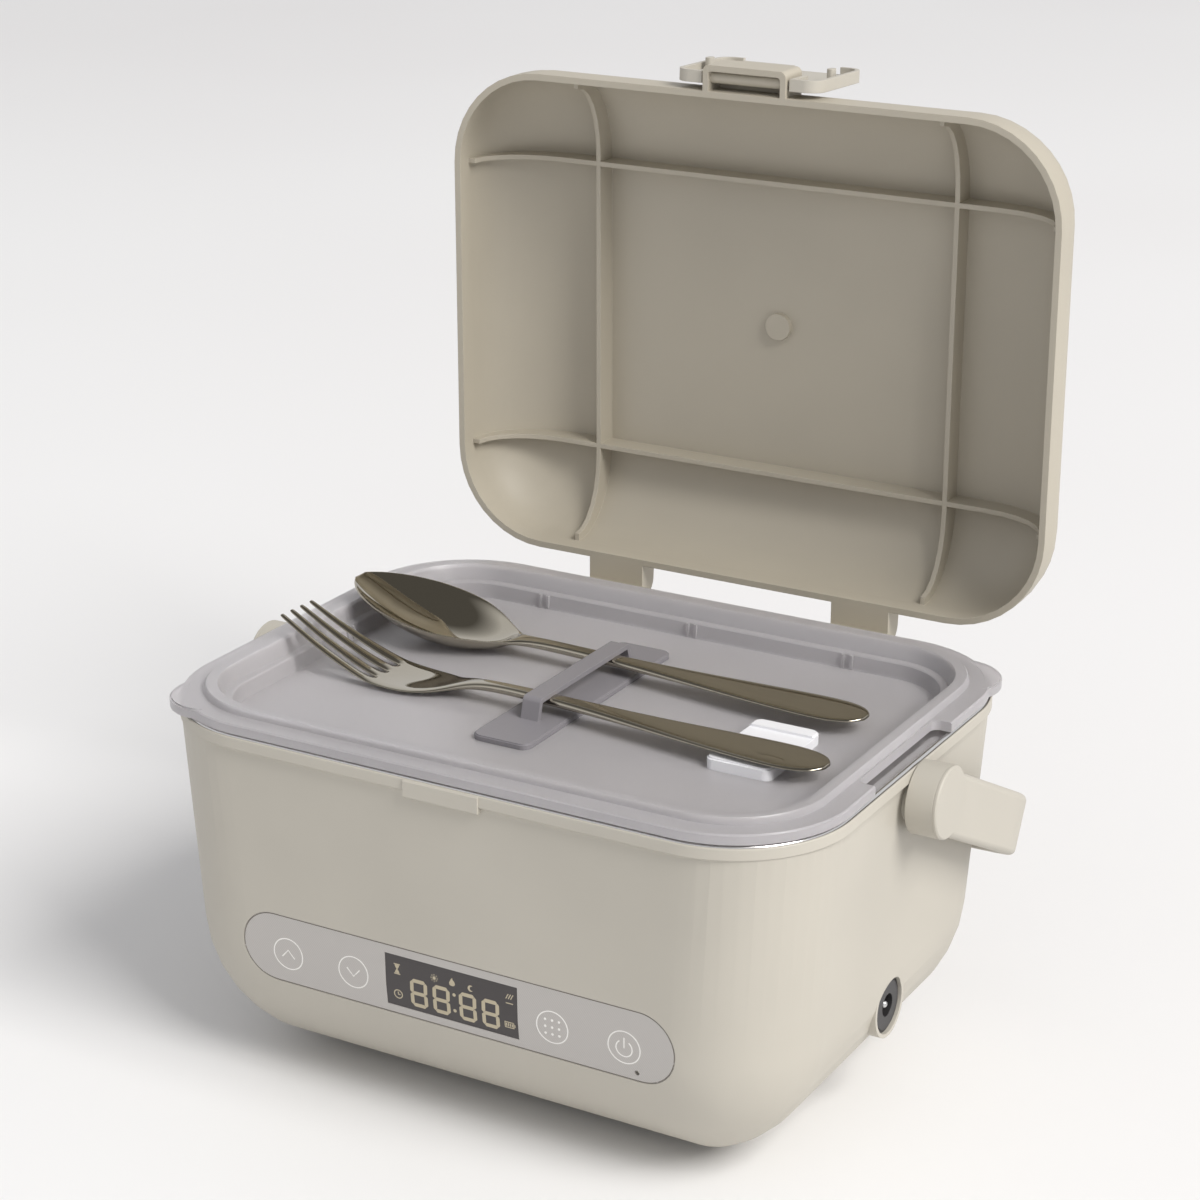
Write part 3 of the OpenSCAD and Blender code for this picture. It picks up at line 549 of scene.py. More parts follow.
def dress(node, material, sharp=30):
    """A welded, smoothly shaded copy of a CAD node."""
    mesh = nodes[node].data.copy()
    old_normals = mesh.attributes.get("custom_normal")
    if old_normals:
        mesh.attributes.remove(old_normals)
    build = bmesh.new()
    build.from_mesh(mesh)
    bmesh.ops.remove_doubles(build, verts=build.verts, dist=0.002 * MM)
    bmesh.ops.dissolve_degenerate(build, edges=build.edges, dist=0.001 * MM)
    for face in build.faces:
        face.smooth = True
        face.material_index = 0
    build.to_mesh(mesh)
    build.free()
    mesh.materials.clear()
    mesh.materials.append(material)
    mesh.set_sharp_from_angle(angle=math.radians(sharp))
    obj = linked(node + "_surface", mesh)
    weigh = obj.modifiers.new("weigh", "WEIGHTED_NORMAL")
    weigh.keep_sharp = True
    return seat(as_mesh(obj), node)


# %% Dress the visible nodes
VISIBLE = {
    "housing": (shell, "shell"),
    "control_panel": (panel_film, "panel"),
    "display_lens": (window_film, "lens"),
    "dc_socket": (dark_plastic, "dark_plastic"),
    "dc_pin": (bright_metal, "bright_metal"),
    "base_cover": (shell_dark, "shell_dark"),
    "feet": (rubber, "rubber"),
    "hinge_pins": (bright_metal, "bright_metal"),
    "handle_pins": (bright_metal, "bright_metal"),
    "food_container": (steel, "steel"),
    "container_lid": (frosted, "frosted"),
    "lid_gasket": (silicone, "silicone"),
    "vent_valve": (white_plastic, "white_plastic"),
    "utensil_holder": (grey_plastic, "grey_plastic"),
    "outer_lid": (shaded_lid_plastic, "shell"),
    "latch": (shell, "shell"),
    "latch_pin": (bright_metal, "bright_metal"),
    "handle": (shell, "shell"),
    "handle_caps": (shell, "shell"),
}
for node, (material, slot_name) in VISIBLE.items():
    dress(node, material)
print("dressed", len(VISIBLE), "nodes")

# %% [markdown]
# ## Pieces inside the box
# The heater, the cells and the boards are out of sight in the picture but are there when the box is
# opened up. Their solids stay as they are and only take their finishes.

# %% Finish the inner nodes
INNER = {
    "display_module": dark_plastic,
    "control_board": board,
    "inner_liner": steel,
    "insulation": insulation,
    "heating_plate": aluminium,
    "temperature_sensor": white_plastic,
    "thermal_fuse": white_plastic,
    "battery_tray": dark_plastic,
    "battery_cells": cell_wrap,
}
for node, material in INNER.items():
    nodes[node].data.materials.clear()
    nodes[node].data.materials.append(material)
print("finished", len(INNER), "inner nodes")

# %% [markdown]
# ## Plates cut from a sheet
# A fork and a spoon start as one flat blank of steel that is pressed to shape. They are made the
# same way here: a grid of cells in length and width, where a missing cell is a slot. A rule says
# where each grid point sits on the top and on the underside, walls close the cut edges, and a
# Subdivision Surface rounds everything as the polishing wheel does.

# %% Curve through heights, and the blank
def slope_at(keys, i):
    """The slope of a smooth curve at its key i."""
    a = max(i - 1, 0)
    b = min(i + 1, len(keys) - 1)
    return (keys[b][1] - keys[a][1]) / (keys[b][0] - keys[a][0])


def smooth(keys, s):
    """The value at s of a smooth curve through (place, value) keys."""
    i = 0
    while i < len(keys) - 2 and s > keys[i + 1][0]:
        i += 1
    width = keys[i + 1][0] - keys[i][0]
    t = min(max((s - keys[i][0]) / width, 0.0), 1.0)
    u = 1 - t
    value = (1 + 2 * t) * u * u * keys[i][1] + t * t * (3 - 2 * t) * keys[i + 1][1]
    return value + t * u * u * width * slope_at(keys, i) - t * t * u * width * slope_at(keys, i + 1)


def blank(name, rows, columns, point, kept, material):
    """A closed plate of cells. point(i, j, side) gives a corner, kept(i, j) says if a cell is steel."""
    build = bmesh.new()
    corner = {}

    def at(i, j, side):
        if (i, j, side) not in corner:
            corner[i, j, side] = build.verts.new(Vector(point(i, j, side)) * MM)
        return corner[i, j, side]

    cells = {(i, j) for i in range(rows) for j in range(columns) if kept(i, j)}
    for i, j in sorted(cells):
        loop = [(i, j), (i + 1, j), (i + 1, j + 1), (i, j + 1)]
        build.faces.new([at(a, b, 1) for a, b in loop])
        build.faces.new([at(a, b, -1) for a, b in reversed(loop)])
        beside = [(i, j - 1), (i + 1, j), (i, j + 1), (i - 1, j)]
        for k, other in enumerate(beside):
            if other not in cells:
                (a, b), (c, d) = loop[k], loop[(k + 1) % 4]
                build.faces.new([at(a, b, -1), at(c, d, -1), at(c, d, 1), at(a, b, 1)])
    bmesh.ops.recalc_face_normals(build, faces=build.faces)
    for face in build.faces:
        face.smooth = True
    mesh = bpy.data.meshes.new(name)
    build.to_mesh(mesh)
    build.free()
    mesh.materials.append(material)
    obj = linked(name, mesh)
    polish = obj.modifiers.new("polish", "SUBSURF")
    polish.levels = 2
    polish.render_levels = 2
    return as_mesh(obj)


def laid(obj, place, turn):
    """The piece turned about the upright axis and set down, its place put in its mesh."""
    matrix = Matrix.Translation(Vector(place) * MM) @ Matrix.Rotation(math.radians(turn), 4, "Z")
    obj.data.transform(matrix)
    return obj


# %% [markdown]
# ## The handles of the cutlery
# Both pieces share one handle: a broad rounded end like a drop, which narrows to a thick slim neck.
# The keys below are half widths and thicknesses along the length, in millimetres.

# %% Shared handle
RIM_TOP = 129.0
HANDLE_HALF = [(0, 1.6), (2, 5.4), (8, 8.9), (18, 9.9), (45, 8.0), (80, 4.4), (110, 3.0)]
HANDLE_THICK = [(0, 1.5), (10, 1.9), (45, 2.1), (80, 2.8), (110, 3.4), (132, 3.0)]


def crown(v, power=2.6):
    """How much of its thickness a section keeps at v, from -1 to 1 across."""
    return max(0.0, 1 - abs(v) ** power) ** 0.5 * 0.72 + 0.28


# %% [markdown]
# ## The fork
# Four tines and three slots. The blank has two cells across each tine and one across each slot, and
# the slot cells end where the roots of the tines begin. Towards the points the tines grow thinner
# and narrower, and the whole head bends up.

# %% Fork
FORK_LENGTH = 212.0
FORK_ROOT = FORK_LENGTH - 39
FORK_HALF = HANDLE_HALF + [(132, 3.0), (142, 5.6), (153, 10.5), (166, 12.3), (182, 11.9), (212, 10.2)]
FORK_THICK = HANDLE_THICK + [(150, 2.0), (172, 1.9), (212, 1.3)]
FORK_HEIGHT = [(0, 1.6), (59, 1.7), (114, 2.1), (134, 1.5), (148, -1.6), (161, -2.7), (174, -1.6),
               (187, 2.6), (199, 7.6), (212, 14)]
FORK_PLACES = ([0, 1, 3, 6, 11, 18, 30, 45, 62, 80, 96, 110, 122, 132, 138, 143, 148, 153, 159, 166, 170.5]
               + [173, 175.5, 181, 188, 195, 201, 206, 210, 212])
TINE = 0.165
SLOT = 0.1133
TINE_EDGES = [0.0]
for tine in range(4):
    TINE_EDGES += [TINE_EDGES[-1] + TINE * 0.75, TINE_EDGES[-1] + TINE * 1.5]
    if tine < 3:
        TINE_EDGES.append(TINE_EDGES[-1] + SLOT)
SPAN = TINE_EDGES[-1]
SLOT_CELLS = {2, 5, 8}


def fork_across(i, j):
    """Place across the fork, -1 to 1, drawn in to the middle of its own tine near the points."""
    v = 2 * TINE_EDGES[j] / SPAN - 1
    s = FORK_PLACES[i]
    if s > FORK_ROOT:
        tine = min(3, j // 3)
        middle = 2 * TINE_EDGES[tine * 3 + 1] / SPAN - 1
        narrow = 1 - 0.42 * ((s - FORK_ROOT) / (FORK_LENGTH - FORK_ROOT)) ** 1.6
        v = middle + (v - middle) * narrow
    return v


def fork_point(i, j, side):
    """A corner of the fork's blank."""
    s = FORK_PLACES[i]
    v = fork_across(i, j)
    thick = smooth(FORK_THICK, s)
    if s > FORK_ROOT:
        keep = 1.0 if j % 3 == 1 else 0.55
    else:
        keep = crown(v)
    dish = -0.9 * (1 - v * v) * min(1, max(0, (s - 143) / 14)) * min(1, max(0, (FORK_LENGTH - s) / 30))
    height = smooth(FORK_HEIGHT, s) + dish + side * thick * keep / 2
    return (s, v * smooth(FORK_HALF, s), height)


def fork_kept(i, j):
    """Slots are open beyond the roots."""
    return not (j in SLOT_CELLS and FORK_PLACES[i] >= FORK_ROOT)


fork_rows, fork_columns = len(FORK_PLACES) - 1, len(TINE_EDGES) - 1
fork = blank("fork_polished", fork_rows, fork_columns, fork_point, fork_kept, polished_steel)
laid(fork, (100.5, -22, RIM_TOP), 177.7)
seat(fork, "fork")
print("fork:", len(fork.data.polygons), "faces")

# %% [markdown]
# ## The spoon
# The spoon's bowl is an egg-shaped dish whose rim rises towards its tip. Each row of the blank runs
# across it, and the dish is deepest along the middle and a little towards the handle.

# %% Spoon
SPOON_LENGTH = 206.5
BOWL_START = 139.0
BOWL_LENGTH = SPOON_LENGTH - BOWL_START
BOWL_DEPTH = 10.2
SPOON_HALF = HANDLE_HALF + [(128, 3.1), (137, 4.2), (144, 8.6), (152, 14.2), (162, 18.8), (172, 20.3),
                            (183, 19.4), (193, 15.8), (200, 11.2), (204, 7.0), (206.5, 2.6)]
SPOON_THICK = HANDLE_THICK + [(140, 2.2), (150, 1.5), (206.5, 1.3)]
SPOON_HEIGHT = [(0, 1.6), (60, 1.7), (112, 2.1), (130, 2.2), (141, 1.9), (160, 5.1), (206.5, 13.2)]
SPOON_PLACES = [0, 1, 3, 6, 11, 18, 30, 45, 62, 80, 96, 110, 120, 128, 134, 139, 143, 147, 152, 157,
                162, 167, 172, 177.5, 183, 188, 193, 197, 200.5, 203.5, 205.4, 206.5]
SPOON_COLUMNS = 12


def spoon_point(i, j, side):
    """A corner of the spoon's blank."""
    s = SPOON_PLACES[i]
    v = 2 * j / SPOON_COLUMNS - 1
    bowl = min(1.0, max(0.0, (s - BOWL_START) / 14))
    thick = smooth(SPOON_THICK, s)
    keep = crown(v) * (1 - bowl) + bowl
    u = min(max((s - BOWL_START) / BOWL_LENGTH, 0.0), 1.0)
    hollow = BOWL_DEPTH * max(0.0, math.sin(math.pi * u ** 0.9)) ** 0.85 * (1 - v * v) ** 0.85
    height = smooth(SPOON_HEIGHT, s) - hollow + side * thick * keep / 2
    return (s, v * smooth(SPOON_HALF, s), height)


def spoon_kept(i, j):
    """Every cell is steel."""
    return True


spoon_rows = len(SPOON_PLACES) - 1
spoon = blank("spoon_polished", spoon_rows, SPOON_COLUMNS, spoon_point, spoon_kept, polished_steel)
laid(spoon, (94, 22, RIM_TOP), 178.3)
seat(spoon, "spoon")
print("spoon:", len(spoon.data.polygons), "faces")

# %% [markdown]
# ## Copies on points
# Many small things here repeat: the rings of the four keys, the nine dots of one sign, the bars of
# the figures, the screws under the base. Geometry Nodes put one drawn shape on each point of a list.
# The tree ends in Realize Instances and Set Material, so that the result is a plain mesh.

# %% Tree that copies a shape onto points
def new_tree(name, inputs):
    """A Geometry Nodes tree with named inputs and a mesh to give back, and its two end nodes."""
    tree = bpy.data.node_groups.new(name, "GeometryNodeTree")
    for label, kind in inputs:
        tree.interface.new_socket(label, in_out="INPUT", socket_type="NodeSocket" + kind)
    tree.interface.new_socket("Mesh", in_out="OUTPUT", socket_type="NodeSocketGeometry")
    return tree, tree.nodes.new("NodeGroupInput"), tree.nodes.new("NodeGroupOutput")


copies_tree, start, end = new_tree(
    "copies_on_points",
    [("Points", "Geometry"), ("Shape", "Object"), ("Size", "Float"), ("Material", "Material")],
)
shape_info = copies_tree.nodes.new("GeometryNodeObjectInfo")
put = copies_tree.nodes.new("GeometryNodeInstanceOnPoints")
real = copies_tree.nodes.new("GeometryNodeRealizeInstances")
paint = copies_tree.nodes.new("GeometryNodeSetMaterial")
wire(
    copies_tree,
    (start.outputs["Points"], put.inputs["Points"]),
    (start.outputs["Shape"], shape_info.inputs["Object"]),
    (shape_info.outputs["Geometry"], put.inputs["Instance"]),
    (start.outputs["Size"], put.inputs["Scale"]),
    (put.outputs["Instances"], real.inputs["Geometry"]),
    (real.outputs["Geometry"], paint.inputs["Geometry"]),
    (start.outputs["Material"], paint.inputs["Material"]),
    (paint.outputs["Geometry"], end.inputs["Mesh"]),
)

# %% [markdown]
# ## Print on a curved front
# The front panel bends in towards its foot, so a flat sign would float off it or sink in. A second
# tree shoots a ray from every point of a flat drawing onto the panel, lays the point on the place
# that it hits, and then gives the print the thickness of a coat of ink. The front layer, the walls
# and the flipped back layer are joined into one closed shape.

# %% Tree that prints a flat drawing onto a surface
print_tree, start, end = new_tree(
    "print_on_surface",
    [("Drawing", "Geometry"), ("Surface", "Object"), ("Sink", "Float"), ("Thickness", "Float"),
     ("Material", "Material")],
)
surface = print_tree.nodes.new("GeometryNodeObjectInfo")
here = print_tree.nodes.new("GeometryNodeInputPosition")
ray = add(print_tree, "GeometryNodeRaycast", Ray_Direction=(0, 1, 0), Ray_Length=0.2)
sink = print_tree.nodes.new("ShaderNodeVectorMath")
sink.operation = "SCALE"
landed = print_tree.nodes.new("ShaderNodeVectorMath")
landed.operation = "ADD"
lay = print_tree.nodes.new("GeometryNodeSetPosition")
thicken = print_tree.nodes.new("GeometryNodeExtrudeMesh")
thicken.mode = "FACES"
thicken.inputs["Individual"].default_value = False
under = print_tree.nodes.new("GeometryNodeFlipFaces")
both = print_tree.nodes.new("GeometryNodeJoinGeometry")
weld = add(print_tree, "GeometryNodeMergeByDistance", Distance=0.001 * MM)
real = print_tree.nodes.new("GeometryNodeRealizeInstances")
paint = print_tree.nodes.new("GeometryNodeSetMaterial")
wire(
    print_tree,
    (start.outputs["Surface"], surface.inputs["Object"]),
    (surface.outputs["Geometry"], ray.inputs["Target Geometry"]),
    (here.outputs[0], ray.inputs["Source Position"]),
    (ray.outputs["Hit Normal"], sink.inputs[0]),
    (start.outputs["Sink"], sink.inputs["Scale"]),
    (ray.outputs["Hit Position"], landed.inputs[0]),
    (sink.outputs[0], landed.inputs[1]),
    (start.outputs["Drawing"], lay.inputs["Geometry"]),
    (landed.outputs[0], lay.inputs["Position"]),
    (lay.outputs["Geometry"], thicken.inputs["Mesh"]),
    (start.outputs["Thickness"], thicken.inputs["Offset Scale"]),
    (lay.outputs["Geometry"], under.inputs["Mesh"]),
    (under.outputs["Mesh"], both.inputs["Geometry"]),
    (thicken.outputs["Mesh"], both.inputs["Geometry"]),
    (both.outputs["Geometry"], weld.inputs["Geometry"]),
    (weld.outputs["Geometry"], real.inputs["Geometry"]),
    (real.outputs["Geometry"], paint.inputs["Geometry"]),
    (start.outputs["Material"], paint.inputs["Material"]),
    (paint.outputs["Geometry"], end.inputs["Mesh"]),
)


def run_tree(obj, tree, **values):
    """Runs a Geometry Nodes tree on an object, its named inputs set, and keeps the plain mesh."""
    modifier = obj.modifiers.new(tree.name, "NODES")
    modifier.node_group = tree
    for label, value in values.items():
        socket = next(s for s in tree.interface.items_tree if s.name == label and s.in_out == "INPUT")
        modifier[socket.identifier] = value
    return as_mesh(obj)


# %% [markdown]
# ## Drawing with strokes
# Every sign is drawn flat, in front of the panel, from strokes: a path with a width at each of its
# points. A circle is a closed stroke, a dot is a small filled disc, and a bar of a figure is a short
# stroke that comes to a point at both ends.

# %% Strokes, discs and arcs
DRAWING_Y = -0.12


def flat_mesh(name, points, faces):
    """A flat mesh from (x, z) points in millimetres, facing the front."""
    mesh = bpy.data.meshes.new(name)
    mesh.from_pydata([(x * MM, DRAWING_Y, z * MM) for x, z in points], [], faces)
    return mesh


def stroke(path, widths, closed=False):
    """Points and faces of a stroke along a path. widths is one number or one for each point."""
    count = len(path)
    if isinstance(widths, (int, float)):
        widths = [widths] * count
    points = []
    for k, (x, z) in enumerate(path):
        before = path[k - 1] if k or closed else path[k]
        after = path[(k + 1) % count] if k < count - 1 or closed else path[k]
        dx, dz = after[0] - before[0], after[1] - before[1]
        size = math.hypot(dx, dz)
        nx, nz = -dz / size * widths[k] / 2, dx / size * widths[k] / 2
        points += [(x - nx, z - nz), (x + nx, z + nz)]
    steps = range(count if closed else count - 1)
    faces = []
    for k in steps:
        a, b = 2 * k, 2 * ((k + 1) % count)
        faces.append((a, b, b + 1, a + 1))
    return points, faces


def arc_path(x, z, radius, start, stop, count):
    """Points on an arc, angles in degrees, running left about."""
    turns = [math.radians(start + (stop - start) * k / count) for k in range(count + 1)]
    return [(x + radius * math.cos(t), z + radius * math.sin(t)) for t in turns]


def circle_stroke(x, z, radius, width, count=64):
    """A ring."""
    return stroke(arc_path(x, z, radius, 0, 360, count)[:-1], width, closed=True)


def disc(x, z, radius, count=20):
    """A filled dot."""
    points = arc_path(x, z, radius, 0, 360, count)[:-1]
    return points, [tuple(range(count))]


def gather(parts):
    """Several drawings as one list of points and faces."""
    points, faces = [], []
    for part_points, part_faces in parts:
        base = len(points)
        points += part_points
        faces += [tuple(i + base for i in face) for face in part_faces]
    return points, faces


def printed(name, drawing, surface_node, material, thickness=0.05):
    """A flat drawing laid onto a dressed surface."""
    if isinstance(drawing, bpy.types.Mesh):
        mesh = drawing
    else:
        mesh = flat_mesh(name, *drawing)
    obj = linked(name, mesh)
    surface_piece = bpy.data.objects[surface_node + "_surface"]
    values = {"Surface": surface_piece, "Sink": -0.01 * MM, "Thickness": thickness * MM, "Material": material}
    run_tree(obj, print_tree, **values)
    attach(obj, home[surface_node])
    return obj


def copied(name, points, shape, material):
    """A shape copied onto a list of (x, z) points in millimetres, as a flat mesh."""
    stamp = linked(name + "_stamp", flat_mesh(name + "_stamp", *shape))
    stamp.data.transform(Matrix.Translation((0, -DRAWING_Y, 0)))
    obj = linked(name + "_points", flat_mesh(name + "_points", points, []))
    run_tree(obj, copies_tree, Shape=stamp, Size=1.0, Material=material)
    mesh = obj.data
    bpy.data.objects.remove(obj)
    bpy.data.objects.remove(stamp)
    return mesh


# %% [markdown]
# ## The keys
# Four touch keys share one ring, so the ring is drawn once and copied onto four points. Inside the
# rings are an up mark, a down mark, a grid of nine dots and the usual on and off sign.

# %% Key rings and signs
KEY_Z = 51.9
KEY_X = (-64.3, -38.1, 38.1, 64.3)
RING_RADIUS = 5.75
LINE = 0.42

rings = copied("key_rings", [(x, KEY_Z) for x in KEY_X], circle_stroke(0, 0, RING_RADIUS, LINE), white_print)
printed("key_rings", rings, "control_panel", white_print)

PITCH = 2.55
dot_places = [(KEY_X[2] + i * PITCH, KEY_Z + j * PITCH) for i in (-1, 0, 1) for j in (-1, 0, 1)]
dots = copied("key_dots", dot_places, disc(0, 0, 0.46), white_print)
printed("key_dots", dots, "control_panel", white_print)

up_mark = [(KEY_X[0] - 2.5, KEY_Z - 1.3), (KEY_X[0], KEY_Z + 1.5), (KEY_X[0] + 2.5, KEY_Z - 1.3)]
down_mark = [(KEY_X[1] - 2.5, KEY_Z + 1.3), (KEY_X[1], KEY_Z - 1.5), (KEY_X[1] + 2.5, KEY_Z + 1.3)]
on_arc = arc_path(KEY_X[3], KEY_Z - 0.35, 2.9, 125, 415, 32)
on_bar = [(KEY_X[3], KEY_Z - 0.2), (KEY_X[3], KEY_Z + 1.6), (KEY_X[3], KEY_Z + 3.5)]
signs = gather([stroke(up_mark, LINE), stroke(down_mark, LINE), stroke(on_arc, LINE), stroke(on_bar, LINE)])
printed("key_signs", signs, "control_panel", white_print)

# %% [markdown]
# ## The panel's edge
# Where the film meets the shell there is a hair-thin dark joint. It is drawn as a closed stroke
# round the film, a stadium in outline.

# %% Panel edge
PANEL_Z = 53.2
PANEL_LENGTH = 164.8
PANEL_HEIGHT = 25.7
EDGE_IN = 0.22


def stadium_path(length, height, z, count=28, side=40):
    """A closed path round a stadium."""
    r = height / 2
    x = length / 2 - r
    top = [(x - 2 * x * k / side, z + r) for k in range(1, side)]
    bottom = [(-x + 2 * x * k / side, z - r) for k in range(1, side)]
    return (arc_path(x, z, r, -90, 90, count) + top + arc_path(-x, z, r, 90, 270, count) + bottom)


edge_path = stadium_path(PANEL_LENGTH - 2 * EDGE_IN, PANEL_HEIGHT - 2 * EDGE_IN, PANEL_Z)
printed("panel_edge", stroke(edge_path, 0.3, closed=True), "control_panel", outline_print, 0.03)

# %% [markdown]
# ## The display
# The window shows four figures and a colon, all bars lit as in a catalogue picture, and small signs
# round them: an hourglass, a clock, a sun, a flame, a moon, steam and a battery. The words that stand
# for morning and afternoon are left out, and the sun and the moon stand in their places.

# %% Figures
WINDOW_W = 50.6
WINDOW_H = 19.2
FIGURE_W = 6.6
FIGURE_H = 10.4
BAR = 1.35


def window(u, v):
    """A point of the window, u to the right and v down from its top left corner."""
    return (-WINDOW_W / 2 + u * WINDOW_W, PANEL_Z + WINDOW_H / 2 - v * WINDOW_H)


def bar(x0, z0, x1, z1):
    """One bar of a figure: pointed at both ends, with a hair of a gap to its neighbours."""
    size = math.hypot(x1 - x0, z1 - z0)
    places = [0.08, BAR * 0.52, size / 2, size - BAR * 0.52, size - 0.08]
    widths = [0.06, BAR, BAR, BAR, 0.06]
    path = [(x0 + (x1 - x0) * p / size, z0 + (z1 - z0) * p / size) for p in places]
    return stroke(path, widths)


def figure():
    """A whole figure 8 about its own middle, all seven bars."""
    w, h = FIGURE_W / 2 - BAR / 2, FIGURE_H / 2 - BAR / 2
    bars = [bar(-w, z, w, z) for z in (-h, 0, h)]
    bars += [bar(x, z, x, z + h) for x in (-w, w) for z in (-h, 0)]
    return gather(bars)


figure_places = [window(u, 0.645) for u in (0.252, 0.424, 0.624, 0.795)]
figures = copied("figures", figure_places, figure(), display_print)
printed("display_figures", figures, "display_lens", display_print, 0.03)
colon = copied("colon", [window(0.523, 0.47), window(0.523, 0.78)], disc(0, 0, 0.62), display_print)
printed("display_colon", colon, "display_lens", display_print, 0.03)


# %% Small display signs
HOURGLASS = (0.09, 0.27)
CLOCK = (0.09, 0.76)
SUN = (0.375, 0.25)
FLAME = (0.51, 0.24)
MOON = (0.655, 0.26)
STEAM = (0.94, 0.22)
STEAM_FOOT = (0.94, 0.31)
BATTERY = (0.935, 0.76)


def at(spot, path):
    """A path moved to a place in the window."""
    x, z = window(*spot)
    return [(x + a, z + b) for a, b in path]


def strokes(spot, width, *paths):
    """Strokes of one width, moved to a place in the window."""
    return [stroke(at(spot, path), width) for path in paths]


hourglass = strokes(HOURGLASS, 0.4, [(-1.2, 1.75), (1.2, 1.75)], [(-1.2, -1.75), (1.2, -1.75)])
hourglass += strokes(HOURGLASS, [1.7, 1.5, 0.3], [(0, 1.5), (0, 0.9), (0, 0)])
hourglass += strokes(HOURGLASS, [0.3, 1.5, 1.7], [(0, 0), (0, -0.9), (0, -1.5)])

clock = [circle_stroke(*window(*CLOCK), 1.55, 0.38, 32)]
clock += strokes(CLOCK, 0.38, [(0, 0.95), (0, -0.15)], [(-0.1, -0.1), (0.8, -0.1)])

sun_x, sun_z = window(*SUN)
sun_sign = [disc(sun_x, sun_z, 0.62)]
for k in range(8):
    c, s = math.cos(k * math.pi / 4), math.sin(k * math.pi / 4)
    inner, outer = (sun_x + 0.95 * c, sun_z + 0.95 * s), (sun_x + 1.45 * c, sun_z + 1.45 * s)
    sun_sign.append(stroke([inner, outer], 0.32))

steam = []
for k in (-0.9, 0.0, 0.9):
    steam += strokes(STEAM, 0.34, [(k - 0.5, -0.8), (k - 0.15, -0.2), (k, 0.2), (k + 0.5, 1.0)])
steam += strokes(STEAM_FOOT, 0.36, [(-1.4, -0.6), (1.3, -0.6)])

battery = strokes(BATTERY, 0.34, [(-1.75, -1.0), (-1.75, 1.0)], [(-1.9, 1.0), (1.6, 1.0)],
                  [(-1.9, -1.0), (1.6, -1.0)], [(1.5, -1.15), (1.5, 1.15)])
battery += strokes(BATTERY, 0.3, [(1.95, -0.5), (1.95, 0.5)])
for k in range(4):
    battery += strokes(BATTERY, 0.42, [(-1.2 + 0.72 * k, -0.6), (-1.2 + 0.72 * k, 0.6)])

MOON_STEPS = 14
moon_path = arc_path(*window(*MOON), 0.95, 60, 300, MOON_STEPS)
moon_widths = [0.06 + 0.75 * math.sin(math.pi * k / MOON_STEPS) for k in range(MOON_STEPS + 1)]
flame_path = [(0.1, 1.6), (-0.1, 1.0), (0.0, 0.3), (0.0, -0.4), (0.0, -1.0), (0.0, -1.3)]
small = hourglass + clock + sun_sign + steam + battery + [stroke(moon_path, moon_widths)]
small += strokes(FLAME, [0.1, 0.7, 1.7, 2.3, 1.9, 0.9], flame_path)
printed("display_signs", gather(small), "display_lens", display_print, 0.03)
print("panel printed")

# %% [markdown]
# ## Screws under the base
# Four small pan-head screws hold the base cover. One is turned as a lathe would, with a shallow round
# recess in its head, and the copying tree puts it on the four places of the solids.

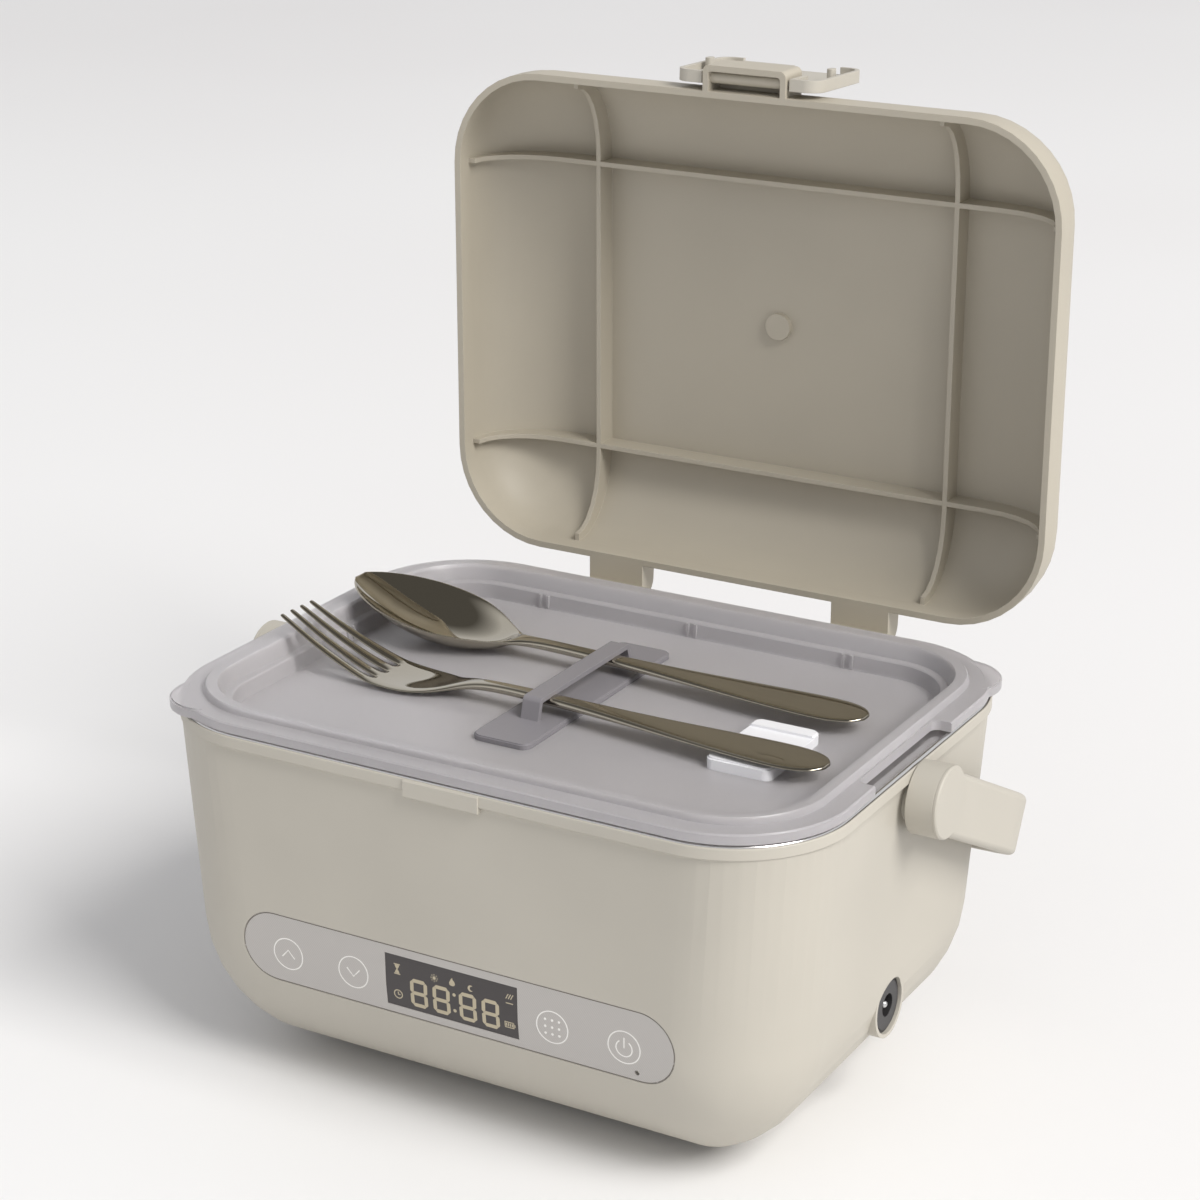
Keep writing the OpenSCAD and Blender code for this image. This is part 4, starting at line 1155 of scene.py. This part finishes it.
# %% Screws
def turned_profile(name, profile, count, material):
    """A closed shape turned about the upright axis from (radius, height) points in millimetres."""
    build = bmesh.new()
    rings_made = []
    for radius, height in profile:
        if radius == 0:
            rings_made.append([build.verts.new((0, 0, height * MM))])
            continue
        ring_made = []
        for k in range(count):
            t = 2 * math.pi * k / count
            x, y = radius * MM * math.cos(t), radius * MM * math.sin(t)
            ring_made.append(build.verts.new((x, y, height * MM)))
        rings_made.append(ring_made)
    for low_ring, high_ring in zip(rings_made, rings_made[1:]):
        for k in range(count):
            n = (k + 1) % count
            if len(low_ring) == 1:
                build.faces.new((low_ring[0], high_ring[n], high_ring[k]))
            elif len(high_ring) == 1:
                build.faces.new((low_ring[k], low_ring[n], high_ring[0]))
            else:
                build.faces.new((low_ring[k], low_ring[n], high_ring[n], high_ring[k]))
    bmesh.ops.recalc_face_normals(build, faces=build.faces)
    mesh = bpy.data.meshes.new(name)
    build.to_mesh(mesh)
    build.free()
    mesh.materials.append(material)
    return mesh


screw_low, screw_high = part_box("cover_screws")
HEAD = 2.6
SHANK = 1.27
profile = [(0, 0.45), (0.42, 0.42), (0.62, 0.02), (1.7, 0.03), (2.3, 0.12), (HEAD, 0.42), (HEAD, 1.0),
           (SHANK, 1.0), (SHANK, 8.2), (0.9, 8.5), (0, 8.5)]
screw_mesh = turned_profile("cover_screw", profile, 24, bright_metal)
for polygon in screw_mesh.polygons:
    polygon.use_smooth = True
screw_mesh.set_sharp_from_angle(angle=math.radians(35))
stamp = linked("screw_stamp", screw_mesh)
screw_x = screw_high.x - HEAD * MM
screw_y = screw_high.y - HEAD * MM
corner_points = [(sx * screw_x, sy * screw_y, screw_low.z) for sx in (-1, 1) for sy in (-1, 1)]
points_mesh = bpy.data.meshes.new("screw_points")
points_mesh.from_pydata(corner_points, [], [])
screws = linked("cover_screw_heads", points_mesh)
run_tree(screws, copies_tree, Shape=stamp, Size=1.0, Material=bright_metal)
bpy.data.objects.remove(stamp)
seat(screws, "cover_screws")
print("screws:", len(corner_points))

# %% [markdown]
# ## The floor
# A wide pale sheet lies under the box and runs out of the picture on every side. It is part of the
# studio and not of the object.

# %% Floor
FLOOR_HALF = 9.0
floor_mesh = bpy.data.meshes.new("floor")
floor_corners = [(x * FLOOR_HALF, y * FLOOR_HALF, 0) for x, y in ((-1, -1), (1, -1), (1, 1), (-1, 1))]
floor_mesh.from_pydata(floor_corners, [], [(0, 1, 2, 3)])
floor = linked("floor", floor_mesh)
paper, tree, shader, place = new_finish("paper")
skin = use_group(tree, grain_group, place, Grain_Scale=300.0, Mottle_Scale=0.8)
tone = two_tones(tree, skin.outputs["Tone"], screen(233, 232, 232), screen(237, 237, 237))
tree.links.new(tone, shader.inputs["Base Color"])
shader.inputs["Roughness"].default_value = 0.7
bump(tree, shader, skin.outputs["Height"], 0.02 * MM)
floor_mesh.materials.append(paper)
